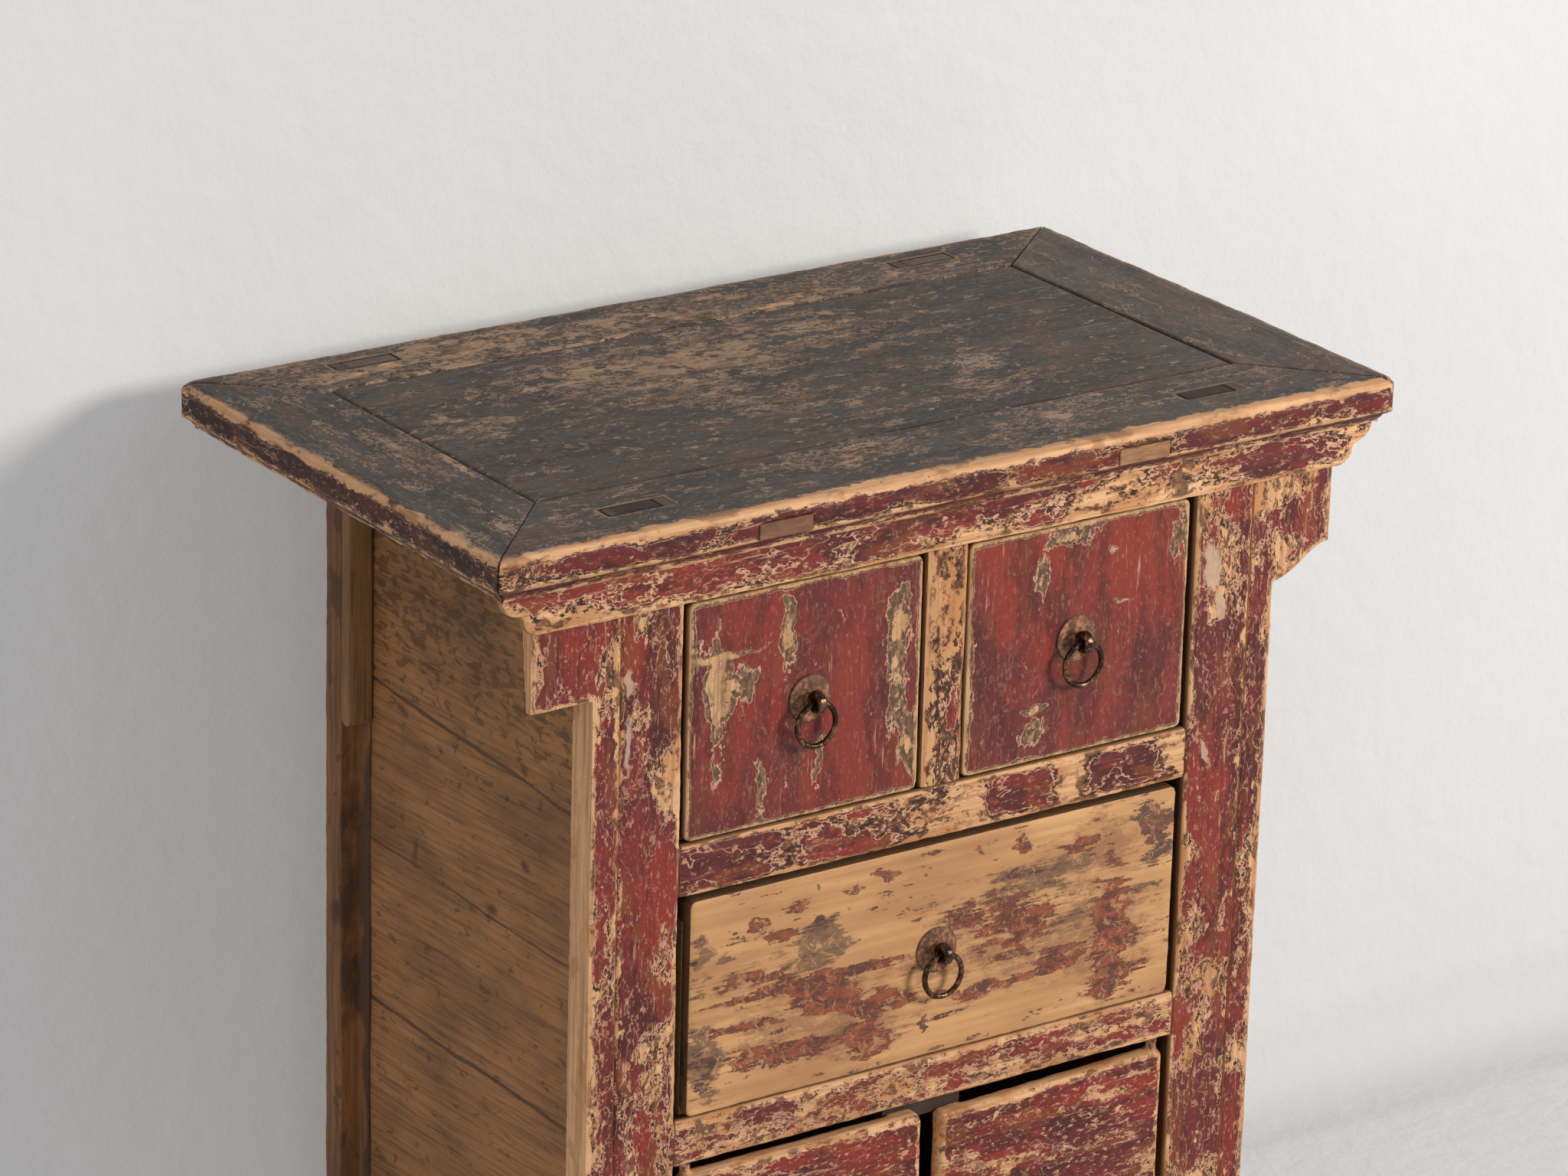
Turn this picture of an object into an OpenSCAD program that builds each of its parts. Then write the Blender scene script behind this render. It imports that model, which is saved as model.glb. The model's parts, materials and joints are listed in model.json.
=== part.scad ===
// Old painted cabinet chest: two drawers over one wide drawer over a cupboard with two pivot doors.
// Millimetres. X to the right, Y to the back, Z up; the origin is under the middle of the top, on the floor.
// The plank sides, the back and the top panel float in grooves of a post and rail frame.

/* [Case] */
// Width over the outer faces of the posts
case_w = 554; // [500:1:620]
// Depth from the front face to the back face of the posts
case_d = 404; // [380:1:440]
// Height of the open foot below the bottom rail
foot_h = 76; // [50:1:110]

/* [Rows] */
// Height of the upper drawer row
upper_row_h = 184; // [150:1:210]
// Height of the middle drawer row
middle_row_h = 172; // [140:1:200]
// Height of the door row
door_row_h = 245; // [200:1:300]
// Height of the rail between the drawer rows
rail_1_h = 41; // [32:1:50]
// Height of the rail above the doors
rail_2_h = 37; // [32:1:50]
// Height of the bottom rail
bottom_rail_h = 38; // [32:1:50]
// Width of the muntin between the upper drawers
muntin_w = 36; // [30:1:44]
// Depth of the front rails and of the muntin
rail_d = 40; // [36:1:44]

/* [Top] */
// Thickness of the top frame at its edge
top_t = 36; // [34:1:42]
// Overhang of the top past the posts at each end
over_side = 115; // [95:1:130]
// Overhang of the top at the front
over_front = 22; // [18:1:30]
// Overhang of the top at the back
over_rear = 18; // [12:1:30]
// Width of the front member of the top frame
member_front_w = 90; // [84:1:100]
// Width of the rear member of the top frame
member_rear_w = 74; // [70:1:90]
// Width of the end members of the top frame
member_side_w = 86; // [80:1:92]
// Radius of the cove under the edge
cove_r = 10; // [5:0.5:11]
// Bevel worn along the top arris
arris = 3; // [1:0.5:5]
// Thickness of the floating top panel
panel_t = 11.5; // [10:0.5:13]
// Drop of the panel below the frame
panel_drop = 0.5; // [0.2:0.1:1.5]
// Shrinkage gap at each end of the top panel
panel_end_gap = 1.4; // [0.4:0.1:3]
// Shrinkage gap along the front and the back of the top panel
panel_long_gap = 0.6; // [0.2:0.1:3]
// Width of each transverse batten under the panel
batten_w = 45; // [35:1:55]
// Distance of each batten from the middle
batten_x = 156; // [130:1:175]
// Height of the battens' through tenons
batten_tenon_t = 12; // [8:1:13]

/* [Posts] */
// Width of the posts
post_w = 53; // [46:1:60]
// Depth of the front posts
front_post_d = 52; // [48:1:60]
// Depth of the rear posts
rear_post_d = 38; // [36:1:46]
// Width of the posts' through tenons
tenon_w = 44; // [34:1:44]
// Thickness of the posts' through tenons
tenon_t = 15; // [10:1:18]
// Width of the wedge beside each through tenon
wedge_w = 9; // [5:0.5:9]
// Distance of the front tenons from the front face
front_tenon_inset = 25; // [20:1:30]
// Distance of the rear tenons from the back face
rear_tenon_inset = 13; // [11:1:20]

/* [Spandrels and frieze] */
// Width of the strip beside each front post
strip_w = 23; // [16:1:30]
// Thickness of the strip
strip_t = 28; // [24:1:36]
// Reach of each wing past its strip
wing_reach = 51; // [35:1:60]
// Height of the wings at their outer edge
wing_h = 92; // [70:1:120]
// Lip of the right wing where it runs into the strip
wing_lip_right = 23; // [0:1:30]
// Lip of the left wing, which has split off
wing_lip_left = 0; // [0:1:30]
// Thickness of the wings at the top
wing_t_top = 17; // [12:1:22]
// Thickness of the wings at their lower edge
wing_t_low = 8; // [6:1:16]
// Height of the frieze
frieze_h = 31; // [26:1:40]
// Thickness of the frieze
frieze_t = 8; // [6:0.5:12]
// Reach of the frieze past the posts at each end
frieze_reach = 103; // [70:1:108]
// Radius of the upper lobe at the frieze's ends
lobe_upper_r = 15; // [10:1:18]
// Radius of the lower lobe at the frieze's ends
lobe_lower_r = 14; // [8:1:18]
// Height of the apron below the bottom rail
apron_h = 28; // [20:1:40]
// Thickness of the apron
apron_t = 14; // [10:1:20]
// Width of each shoulder at the apron's ends
apron_shoulder = 45; // [30:1:80]

/* [Sides, back and floor] */
// Recess of the side planks behind the posts' outer faces
plank_recess = 21; // [19:1:24]
// Thickness of the side planks
plank_t = 12; // [10:0.5:14]
// Height of the upper side planks' joint below the top
plank_joint_1 = 248; // [200:1:300]
// Height of the lower side planks' joint below the top
plank_joint_2 = 500; // [400:1:560]
// Rise of the upper planks' joint from the front post to the rear post
plank_slant = 14; // [0:1:30]
// Shrinkage gap between neighbouring planks and boards
plank_gap = 0.6; // [0.2:0.1:2]
// Depth of the grooves that hold the planks and boards
groove_d = 9; // [6:0.5:10]
// Width of the side rails
side_rail_w = 40; // [36:1:42]
// Height of the upper side and back rails
upper_rail_h = 36; // [30:1:40]
// Depth of the back rails
back_rail_d = 32; // [30:1:38]
// Thickness of the back boards
back_board_t = 9; // [7:0.5:10]
// Recess of the back boards behind the back face of the posts
back_recess = 9; // [7:0.5:10]
// Thickness of the cupboard floor
floor_t = 12; // [9:1:14]
// Drop of the cupboard floor below the top of the bottom rail
floor_drop = 8; // [4:1:10]
// Depth of the rebate along the rear posts' outer front corners
corner_rebate = 14; // [10:1:18]
// Length of the batten left in each rebate, from under the top
rear_batten_l = 241; // [150:1:300]
// Height of the runners
runner_h = 22; // [16:1:30]
// Width of the runners, from the planks inwards
runner_w = 40; // [34:1:46]
// Height of the guides that stand on the runners
guide_h = 15; // [8:1:24]

/* [Drawers] */
// Thickness of the drawer fronts
front_t = 20; // [16:1:24]
// Corner radius of the drawer fronts
front_r = 5; // [2:1:9]
// Thickness of the drawer sides and backs
side_t = 10; // [8:0.5:13]
// Thickness of the drawer bottoms
bottom_t = 6; // [5:0.5:8]
// Height of the bottoms above the drawers' lower edges
bottom_rise = 8; // [5:1:12]
// Depth of the grooves that hold the bottoms
bottom_groove = 5; // [3:0.5:6]
// Drop of the drawer sides below the top of the front
side_drop = 18; // [8:1:40]
// Gap on each side of the upper left drawer
upper_gap = 3; // [1.5:0.5:5]
// Gap between the upper right drawer and the muntin
right_gap_in = 1.2; // [0.8:0.1:5]
// Gap between the upper right drawer and its post
right_gap_out = 6; // [1.5:0.5:8]
// Gap on each side of the middle drawer
middle_gap = 8; // [1.5:0.5:9]
// Gap above each drawer front
front_gap_top = 3; // [1.5:0.5:6]
// Gap below each drawer front
front_gap_low = 1.5; // [1:0.5:3]
// Stand-out of the middle drawer's front
middle_proud = 2; // [0:0.5:5]
// Running clearance of the drawers on their runners and at the back
run_clear = 0.3; // [0.2:0.1:0.6]
// Clearance between the drawers and their guides
guide_clear = 0.4; // [0.2:0.1:1]

/* [Doors] */
// Thickness of the doors
door_t = 15; // [14:1:20]
// Gap between each door and its post
door_hinge_gap = 6; // [5:0.5:9]
// Gap above the doors
door_gap_top = 9; // [3:0.5:12]
// Gap below the doors
door_gap_low = 2; // [1:0.5:4]
// Gap between the doors, where a loose bar once stood
door_gap_middle = 16; // [4:1:36]
// Offset of that gap to the right of the middle
door_gap_shift = 4; // [0:1:10]
// Taper planed off the right door's top edge, at its free end
door_taper_right = 6; // [0:0.5:10]
// Corner radius of the doors
door_r = 7; // [1:1:9]
// Height of the cleat that stops the doors
stop_h = 9; // [6:1:14]
// Width of that cleat
stop_w = 70; // [50:1:100]
// Diameter of the wooden pivots
pivot_dia = 9; // [7:0.5:11]
// Length of the pivots in their sockets
pivot_l = 11; // [8:1:16]
// Radial clearance of the pivots
pivot_clear = 0.1; // [0.05:0.01:0.1]

/* [Ring pulls] */
// Diameter of the round plates
plate_dia = 36; // [30:1:44]
// Thickness of the round plates
plate_t = 1.2; // [0.8:0.1:2]
// Outer diameter of the rings
ring_dia = 37; // [32:1:46]
// Wire diameter of the rings
ring_wire = 4.4; // [3.5:0.1:5]
// Width of the cotter eyes
eye_w = 8; // [6:0.5:10]
// Radial thickness of the cotter eyes
eye_band = 5.2; // [4:0.1:6]
// Free play of the ring in its eye
eye_play = 1.1; // [0.9:0.1:1.6]
// Gap between the hanging ring and its eye
ring_seat = 0.3; // [0.2:0.05:0.5]
// Diameter of the cotter shank
shank_dia = 5; // [4:0.5:6]
// Clearance of the shank in its hole
shank_clear = 0.1; // [0.05:0.05:0.3]
// Reach of each bent cotter leg behind the front
leg_l = 12; // [8:1:18]
// Thickness of the bent cotter legs
leg_t = 2; // [1.5:0.5:3]
// Offset of the upper drawers' pulls towards the middle
upper_pull_shift = 3.5; // [0:0.5:20]
// Distance of the door pulls from the doors' free edges
door_pull_inset = 34; // [26:1:60]

/* [Hidden] */
$fn = 64;
half_w = case_w / 2;
open_x = half_w - post_w;
top_x = half_w + over_side;
top_d = case_d + over_front + over_rear;
top_front = -top_d / 2;
top_rear = top_d / 2;
front_y = top_front + over_front;
rear_y = front_y + case_d;
front_post_y = front_y + front_post_d;
rear_post_y = rear_y - rear_post_d;

// Heights, from the floor up
bottom_rail_z = foot_h;
door_z = bottom_rail_z + bottom_rail_h;
rail_2_z = door_z + door_row_h;
middle_z = rail_2_z + rail_2_h;
rail_1_z = middle_z + middle_row_h;
upper_z = rail_1_z + rail_1_h;
frieze_z = upper_z + upper_row_h;
under_z = frieze_z + frieze_h;
top_z = under_z + top_t;
upper_rail_z = under_z - upper_rail_h;

// Grooves and tenons inside the joints
panel_seat = top_t - panel_drop - panel_t;
tongue_t = 7;
tongue_clear = 0.2;
end_clear = 1;
stub = 12;
stub_t = 12;
stub_inset = 5;
front_stub_l = 25;
mitre_tenon_w = 22;
mitre_tenon_t = 12;
mitre_tenon_z = 8;
mitre_tenon_l = 24;
fit = 0.5;

plank_x1 = half_w - plank_recess;
plank_x0 = plank_x1 - plank_t;
side_rail_x0 = half_w - side_rail_w;
back_y1 = rear_y - back_recess;
back_y0 = back_y1 - back_board_t;
rail_back_y = front_y + rail_d;
floor_z = door_z - floor_drop - floor_t;
rear_batten_z = under_z - rear_batten_l;
rear_batten_proud = 1.5;
rebate_foot = 40;
rebate_z = door_z + rebate_foot;
runner_x0 = plank_x0 - runner_w;
runner_ledge = 3;

front_rails = [[frieze_z, under_z], [rail_1_z, upper_z], [rail_2_z, middle_z], [bottom_rail_z, door_z]];
side_rails = [[bottom_rail_z, door_z], [upper_rail_z, under_z]];
// The rail behind the upper drawers carries the middle runner
back_rails = [[bottom_rail_z, door_z], [rail_1_z, upper_z], [upper_rail_z, under_z]];

// The drawers: left, right and middle
D_LEFT = 0;
D_RIGHT = 1;
D_MIDDLE = 2;
function drawer_x0(k) = [-open_x + upper_gap, muntin_w / 2 + right_gap_in, -open_x + middle_gap][k];
function drawer_x1(k) = [-muntin_w / 2 - upper_gap, open_x - right_gap_out, open_x - middle_gap][k];
function drawer_floor(k) = k == D_MIDDLE ? middle_z : upper_z;
function drawer_z0(k) = drawer_floor(k) + front_gap_low;
function drawer_z1(k) = (k == D_MIDDLE ? rail_1_z : frieze_z) - front_gap_top;
function drawer_y(k) = front_y - (k == D_MIDDLE ? middle_proud : 0);
function drawer_back(k) = back_y0 - run_clear;
function box_z0(k) = drawer_floor(k) + run_clear;
function box_z1(k) = drawer_z1(k) - side_drop;

// The doors
door_z0 = door_z + door_gap_low;
door_z1 = rail_2_z - door_gap_top;
door_x1 = open_x - door_hinge_gap;
function door_edge(s) = door_gap_middle / 2 + s * door_gap_shift;
stop_y = front_y + door_t + run_clear;
pivot_x = door_x1 - door_t / 2;
pivot_y = front_y + door_t / 2;

// The pulls: three on the drawers, two on the doors
PULLS = ["drawer_left", "drawer_right", "drawer_middle", "door_left", "door_right"];
function door_pull_x(s) = s * (door_edge(s) + door_pull_inset);
upper_pull_x = (drawer_x0(D_LEFT) + drawer_x1(D_LEFT)) / 2 + upper_pull_shift;
pull_x = [upper_pull_x, -upper_pull_x, 0, door_pull_x(-1), door_pull_x(1)];
door_pull_z = (door_z0 + door_z1) / 2;
pull_z = [for (k = [0 : 2]) (drawer_z0(k) + drawer_z1(k)) / 2, door_pull_z, door_pull_z];
pull_y = [for (k = [0 : 2]) drawer_y(k), front_y, front_y];
pull_t = [front_t, front_t, front_t, door_t, door_t];
eye_hole_r = ring_wire / 2 + eye_play;
eye_r = eye_hole_r + eye_band / 2;
eye_out = plate_t + eye_r + eye_band / 2;
ring_r = (ring_dia - ring_wire) / 2;
ring_drop = eye_play - ring_seat;

red = "#8f3b37";
dark = "#55504e";
bare = "#7d5734";
tan_wood = "#c2935f";
inner_wood = "#a98558";
iron = "#33281f";

// A block from its low corner to its high corner
module block(lo, hi) { translate(lo) cube(hi - lo); }

// Pieces are drawn on the right; side -1 mirrors them to the left
module on_side(s) { if (s < 0) mirror([1, 0, 0]) children(); else children(); }

// A flat outline in X and Z, given a thickness from y0 back to y1
module slab_xz(y0, y1) { translate([0, y1, 0]) rotate([90, 0, 0]) linear_extrude(y1 - y0) children(); }

module rounded_outline(x0, z0, x1, z1, r) {
    translate([x0 + r, z0]) square([x1 - x0 - 2 * r, z1 - z0]);
    translate([x0, z0 + r]) square([x1 - x0, z1 - z0 - 2 * r]);
    for (x = [x0 + r, x1 - r], z = [z0 + r, z1 - r]) translate([x, z]) circle(r);
}

// The top: a mitred frame with a moulded edge, a floating panel and two battens

// Section of a frame member: the outer face is at 0, the inner edge at -w
module member_section(w) {
    difference() {
        polygon([[-w, 0], [0, 0], [0, top_t - arris], [-arris, top_t], [-w, top_t]]);
        circle(cove_r);
        translate([-w, panel_seat]) square([groove_d, tongue_t]);
    }
}

inner_x = top_x - member_side_w;
inner_front = top_front + member_front_w;
inner_rear = top_rear - member_rear_w;
front_plan = [[-top_x, top_front], [top_x, top_front], [inner_x, inner_front], [-inner_x, inner_front]];
rear_plan = [[-top_x, top_rear], [-inner_x, inner_rear], [inner_x, inner_rear], [top_x, top_rear]];
side_plan = [[top_x, top_front], [top_x, top_rear], [inner_x, inner_rear], [inner_x, inner_front]];

module plan_prism(plan) { translate([0, 0, under_z]) linear_extrude(top_t) polygon(plan); }

// Hidden tenons at the mitres, from the end members into the front and rear members
module mitre_tenons() {
    x = top_x - member_side_w / 2;
    z = under_z + mitre_tenon_z;
    block([x - mitre_tenon_w / 2, top_front + mitre_tenon_l, z],
          [x + mitre_tenon_w / 2, inner_front, z + mitre_tenon_t]);
    block([x - mitre_tenon_w / 2, inner_rear, z],
          [x + mitre_tenon_w / 2, top_rear - mitre_tenon_l, z + mitre_tenon_t]);
}

// Mortise for a post's tenon and its wedge
module post_mortise(s, y, extra = 0) {
    w = tenon_w + wedge_w;
    x = s * (open_x + post_w / 2);
    block([x - w / 2, y - tenon_t / 2, under_z - extra], [x + w / 2, y + tenon_t / 2, top_z + extra]);
}

module batten_tenon(s) {
    block([s * batten_x - batten_w / 2, top_front, under_z + panel_seat - batten_tenon_t],
          [s * batten_x + batten_w / 2, top_rear, under_z + panel_seat]);
}

front_tenon_y = front_y + front_tenon_inset;
rear_tenon_y = rear_y - rear_tenon_inset;

module long_member(plan, tenon_y) {
    difference() {
        intersection() {
            plan_prism(plan);
            children();
        }
        for (s = [-1, 1]) {
            post_mortise(s, tenon_y, 1);
            batten_tenon(s);
            on_side(s) mitre_tenons();
        }
    }
}

module top_front_member() {
    color(dark) long_member(front_plan, front_tenon_y)
        translate([0, top_front, under_z]) rotate([90, 0, 90])
            linear_extrude(2 * top_x, center = true) mirror([1, 0]) member_section(member_front_w);
}

module top_rear_member() {
    color(dark) long_member(rear_plan, rear_tenon_y)
        translate([0, top_rear, under_z]) rotate([90, 0, 90])
            linear_extrude(2 * top_x, center = true) member_section(member_rear_w);
}

module top_end_member(s) {
    color(dark) on_side(s) {
        intersection() {
            plan_prism(side_plan);
            translate([top_x, 0, under_z]) rotate([90, 0, 0])
                linear_extrude(top_d, center = true) member_section(member_side_w);
        }
        mitre_tenons();
    }
}

module top_panel() {
    x = inner_x - panel_end_gap;
    y0 = inner_front + panel_long_gap;
    y1 = inner_rear - panel_long_gap;
    tongue = groove_d - end_clear;
    color(dark) {
        block([-x, y0, under_z + panel_seat], [x, y1, top_z - panel_drop]);
        block([-inner_x - tongue, inner_front - tongue, under_z + panel_seat],
              [inner_x + tongue, inner_rear + tongue, under_z + panel_seat + tongue_t - tongue_clear]);
    }
}

module top_battens() {
    color(bare) for (s = [-1, 1]) {
        block([s * batten_x - batten_w / 2, inner_front, under_z],
              [s * batten_x + batten_w / 2, inner_rear, under_z + panel_seat]);
        batten_tenon(s);
    }
}

// The wedges stand right of the front tenons and left of the rear ones
function wedge_shift(front) = front ? tenon_w / 2 : -tenon_w / 2;

module tenon_wedges() {
    color(tan_wood) for (s = [-1, 1], front = [true, false]) {
        x = s * (open_x + post_w / 2) + wedge_shift(front);
        y = front ? front_tenon_y : rear_tenon_y;
        block([x - wedge_w / 2, y - tenon_t / 2, under_z], [x + wedge_w / 2, y + tenon_t / 2, top_z]);
    }
}

// Tenons of the rails, drawn once and cut from the posts as mortises
module front_rail_tenons(levels) {
    for (s = [-1, 1], r = levels)
        on_side(s) block([open_x, front_y + rail_d / 2 - stub_t / 2, r[0] + stub_inset],
                         [open_x + front_stub_l, front_y + rail_d / 2 + stub_t / 2, r[1] - stub_inset]);
}

module back_rail_tenons(levels) {
    for (s = [-1, 1], r = levels) {
        y = r[0] == rail_1_z ? (rear_post_y + back_y0) / 2 : rear_y - back_rail_d / 2 + stub_t / 2;
        on_side(s) block([open_x, y - stub_t / 2, r[0] + stub_inset],
                         [open_x + stub, y + stub_t / 2, r[1] - stub_inset]);
    }
}

module side_rail_tenons(levels) {
    x = (plank_x0 + plank_x1) / 2 - stub_t / 2;
    for (r = levels) {
        block([x, front_post_y - stub, r[0] + stub_inset], [x + stub_t, front_post_y, r[1] - stub_inset]);
        block([x, rear_post_y, r[0] + stub_inset], [x + stub_t, rear_post_y + stub, r[1] - stub_inset]);
    }
}

// Groove for the side planks between the lower and the upper side rail
module plank_groove() {
    block([plank_x0, front_post_y - groove_d, door_z - groove_d],
          [plank_x1, rear_post_y + groove_d, upper_rail_z + groove_d]);
}

module post_tenon(s, front) {
    x = s * (open_x + post_w / 2) - (front ? wedge_w : -wedge_w) / 2;
    y = front ? front_tenon_y : rear_tenon_y;
    block([x - tenon_w / 2, y - tenon_t / 2, under_z], [x + tenon_w / 2, y + tenon_t / 2, top_z]);
}

module post_front(s) {
    color(red) {
        on_side(s) difference() {
            block([open_x, front_y, 0], [half_w, front_post_y, under_z]);
            front_rail_tenons(front_rails);
            side_rail_tenons(side_rails);
            plank_groove();
        }
        post_tenon(s, true);
    }
}

module post_rear(s) {
    color(bare) {
        on_side(s) difference() {
            block([open_x, rear_post_y, 0], [half_w, rear_y, under_z]);
            back_rail_tenons(back_rails);
            side_rail_tenons(side_rails);
            plank_groove();
            back_groove();
            block([plank_x1, rear_post_y - 1, rebate_z],
                  [half_w + 1, rear_post_y + corner_rebate, under_z + 1]);
        }
        post_tenon(s, false);
    }
}

// The batten left in the rebate of each rear post; its lower end is rounded
module rear_battens() {
    x1 = half_w + rear_batten_proud;
    r = corner_rebate / 2;
    color(bare) for (s = [-1, 1]) on_side(s) {
        block([plank_x1, rear_post_y, rear_batten_z + r], [x1, rear_post_y + corner_rebate, under_z]);
        translate([plank_x1, rear_post_y + r, rear_batten_z + r]) rotate([0, 90, 0])
            cylinder(h = x1 - plank_x1, r = r);
    }
}

// Spandrels: a strip beside the front post that widens to a wing below the top

// Lower edge of a wing: an S-curve from the outer edge down to the strip
function wing_edge(lip) = [for (i = [0 : 10]) let (t = i / 10)
    [half_w + strip_w + wing_reach * (1 - t), under_z - wing_h - lip * (1 - cos(180 * t)) / 2]];

module wing(s, lip) {
    x1 = half_w + strip_w;
    color(red) on_side(s) {
        block([half_w, front_y, 0], [x1, front_y + strip_t, under_z]);
        intersection() {
            slab_xz(front_y, front_y + strip_t)
                polygon(concat([[half_w, under_z - wing_h - lip], [half_w, under_z], [x1 + wing_reach, under_z]],
                               wing_edge(lip)));
            // The wing thins towards its lower edge
            translate([half_w, 0, 0]) rotate([90, 0, 90]) linear_extrude(strip_w + wing_reach)
                polygon([[front_y, under_z], [front_y + wing_t_top, under_z],
                         [front_y + wing_t_low, under_z - wing_h], [front_y + wing_t_low, 0], [front_y, 0]]);
        }
    }
}

// Board in front of the posts and wings, under the top; its ends are two stepped lobes
module frieze() {
    x_end = half_w + frieze_reach;
    x_up = x_end - lobe_upper_r;
    x_low = x_up - 2 - lobe_lower_r;
    color(red) slab_xz(front_y - frieze_t, front_y) {
        translate([-x_low, frieze_z]) square([2 * x_low, frieze_h]);
        translate([-x_up, under_z - lobe_upper_r]) square([2 * x_up, lobe_upper_r]);
        for (s = [-1, 1]) {
            intersection() {
                translate([s * x_up, under_z]) circle(lobe_upper_r);
                translate([-x_end, frieze_z]) square([2 * x_end, frieze_h]);
            }
            intersection() {
                translate([s * x_low, frieze_z + lobe_lower_r]) circle(lobe_lower_r);
                translate([-x_end, frieze_z]) square([2 * x_end, frieze_h]);
            }
            translate([s > 0 ? 0 : -x_low - lobe_lower_r, frieze_z + lobe_lower_r])
                square([x_low + lobe_lower_r, frieze_h - lobe_lower_r - lobe_upper_r + 1]);
        }
    }
}

module front_rail(r) {
    block([-open_x, front_y, r[0]], [open_x, rail_back_y, r[1]]);
    front_rail_tenons([r]);
}

module muntin_stubs() {
    y = front_y + rail_d / 2;
    block([-muntin_w / 2 + stub_inset, y - stub_t / 2, upper_z - stub],
          [muntin_w / 2 - stub_inset, y + stub_t / 2, frieze_z + stub]);
}

module muntin() {
    color(red) {
        block([-muntin_w / 2, front_y, upper_z], [muntin_w / 2, rail_back_y, frieze_z]);
        muntin_stubs();
    }
}

// Sockets for the doors' wooden pivots
module pivot_sockets() {
    depth = pivot_l + run_clear;
    for (s = [-1, 1]) translate([s * pivot_x, pivot_y, door_z - depth])
        cylinder(h = door_row_h + 2 * depth, d = pivot_dia + 2 * pivot_clear);
}

module rail_top() { color(tan_wood) difference() { front_rail(front_rails[0]); muntin_stubs(); } }
module rail_1() { color(red) difference() { front_rail(front_rails[1]); muntin_stubs(); } }
module rail_2() { color(red) difference() { front_rail(front_rails[2]); pivot_sockets(); } }
module rail_bottom() {
    color(red) difference() {
        front_rail(front_rails[3]);
        pivot_sockets();
        cupboard_floor_solid();
    }
}

// Apron under the bottom rail, cut back between two round shoulders
module apron() {
    z = bottom_rail_z - apron_h;
    r = apron_h / 2;
    shoulder = open_x - apron_shoulder;
    color(red) slab_xz(front_y + 3, front_y + 3 + apron_t) difference() {
        translate([-open_x, z]) square([2 * open_x, apron_h]);
        translate([-shoulder, z - 1]) square([2 * shoulder, r + 1]);
        for (s = [-1, 1]) translate([s * shoulder, z]) circle(r);
    }
}

module side_rail(s, r, groove_z) {
    on_side(s) difference() {
        union() {
            block([side_rail_x0, front_post_y, r[0]], [half_w, rear_post_y, r[1]]);
            side_rail_tenons([r]);
        }
        block([plank_x0, front_post_y - stub, groove_z], [plank_x1, rear_post_y + stub, groove_z + groove_d]);
        cupboard_floor_solid();
    }
}

module side_rail_top(s) { color(bare) side_rail(s, side_rails[1], upper_rail_z); }
module side_rail_bottom(s) { color(bare) side_rail(s, side_rails[0], door_z - groove_d); }

// Heights of the side planks' edges at the front, and their rise to the back
plank_levels = [door_z - groove_d + end_clear, top_z - plank_joint_2, top_z - plank_joint_1 - plank_slant / 2,
                upper_rail_z + groove_d - end_clear + plank_gap];
plank_rise = [0, 0, plank_slant, 0];

// Three wide planks, edge to edge, in the grooves of the posts and rails
module side_planks(s) {
    y0 = front_post_y - groove_d + end_clear;
    y1 = rear_post_y + groove_d - end_clear;
    color(bare) on_side(s) translate([plank_x0, 0, 0]) rotate([90, 0, 90]) for (i = [0 : 2]) {
        low = plank_levels[i];
        high = plank_levels[i + 1] - plank_gap;
        linear_extrude(plank_t)
            polygon([[y0, low], [y1, low + plank_rise[i]], [y1, high + plank_rise[i + 1]], [y0, high]]);
    }
}

module back_groove() {
    block([0, back_y0, door_z - groove_d], [open_x + groove_d, back_y1, upper_rail_z + groove_d]);
}

module back_rail(r, y0, y1) {
    difference() {
        union() {
            block([-open_x, y0, r[0]], [open_x, y1, r[1]]);
            back_rail_tenons([r]);
        }
        for (s = [-1, 1]) on_side(s) back_groove();
        cupboard_floor_solid();
    }
}

module back_rail_top() { color(bare) back_rail(back_rails[2], rear_y - back_rail_d, rear_y); }
module back_rail_middle() { color(inner_wood) back_rail(back_rails[1], rear_post_y, back_y0); }
module back_rail_bottom() { color(bare) back_rail(back_rails[0], rear_y - back_rail_d, rear_y); }

module back_boards() {
    x = open_x + groove_d - end_clear;
    pitch = (2 * x + plank_gap) / 3;
    color(bare) for (i = [0 : 2])
        block([-x + i * pitch, back_y0, door_z - groove_d + end_clear],
              [-x + (i + 1) * pitch - plank_gap, back_y1, upper_rail_z + groove_d - end_clear]);
}

// The floor sits in grooves of the four bottom rails, notched round the posts
module cupboard_floor_solid() {
    y0 = rail_back_y - groove_d;
    y1 = rear_y - back_rail_d + groove_d;
    difference() {
        block([-side_rail_x0 - groove_d, y0, floor_z], [side_rail_x0 + groove_d, y1, floor_z + floor_t]);
        for (s = [-1, 1]) on_side(s) {
            block([open_x - fit, y0 - 1, floor_z - 1], [half_w, front_post_y + fit, door_z]);
            block([open_x - fit, rear_post_y - fit, floor_z - 1], [half_w, rear_y, door_z]);
        }
    }
}

module cupboard_floor() { color(inner_wood) cupboard_floor_solid(); }

// Runner with a guide on it, from the front rail's back to the rear post
module side_runner(z, drawer_x) {
    guide_x = drawer_x + guide_clear;
    block([runner_x0, rail_back_y, z - runner_h], [open_x, rear_post_y, z]);
    block([open_x, front_post_y, z - runner_h], [plank_x0, rear_post_y, z]);
    block([guide_x, front_post_y, z], [plank_x0, rear_post_y, z + guide_h]);
}

module runner_pair(z, left, right) {
    color(inner_wood) {
        on_side(-1) side_runner(z, -drawer_x0(left));
        on_side(1) side_runner(z, drawer_x1(right));
    }
}

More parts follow.
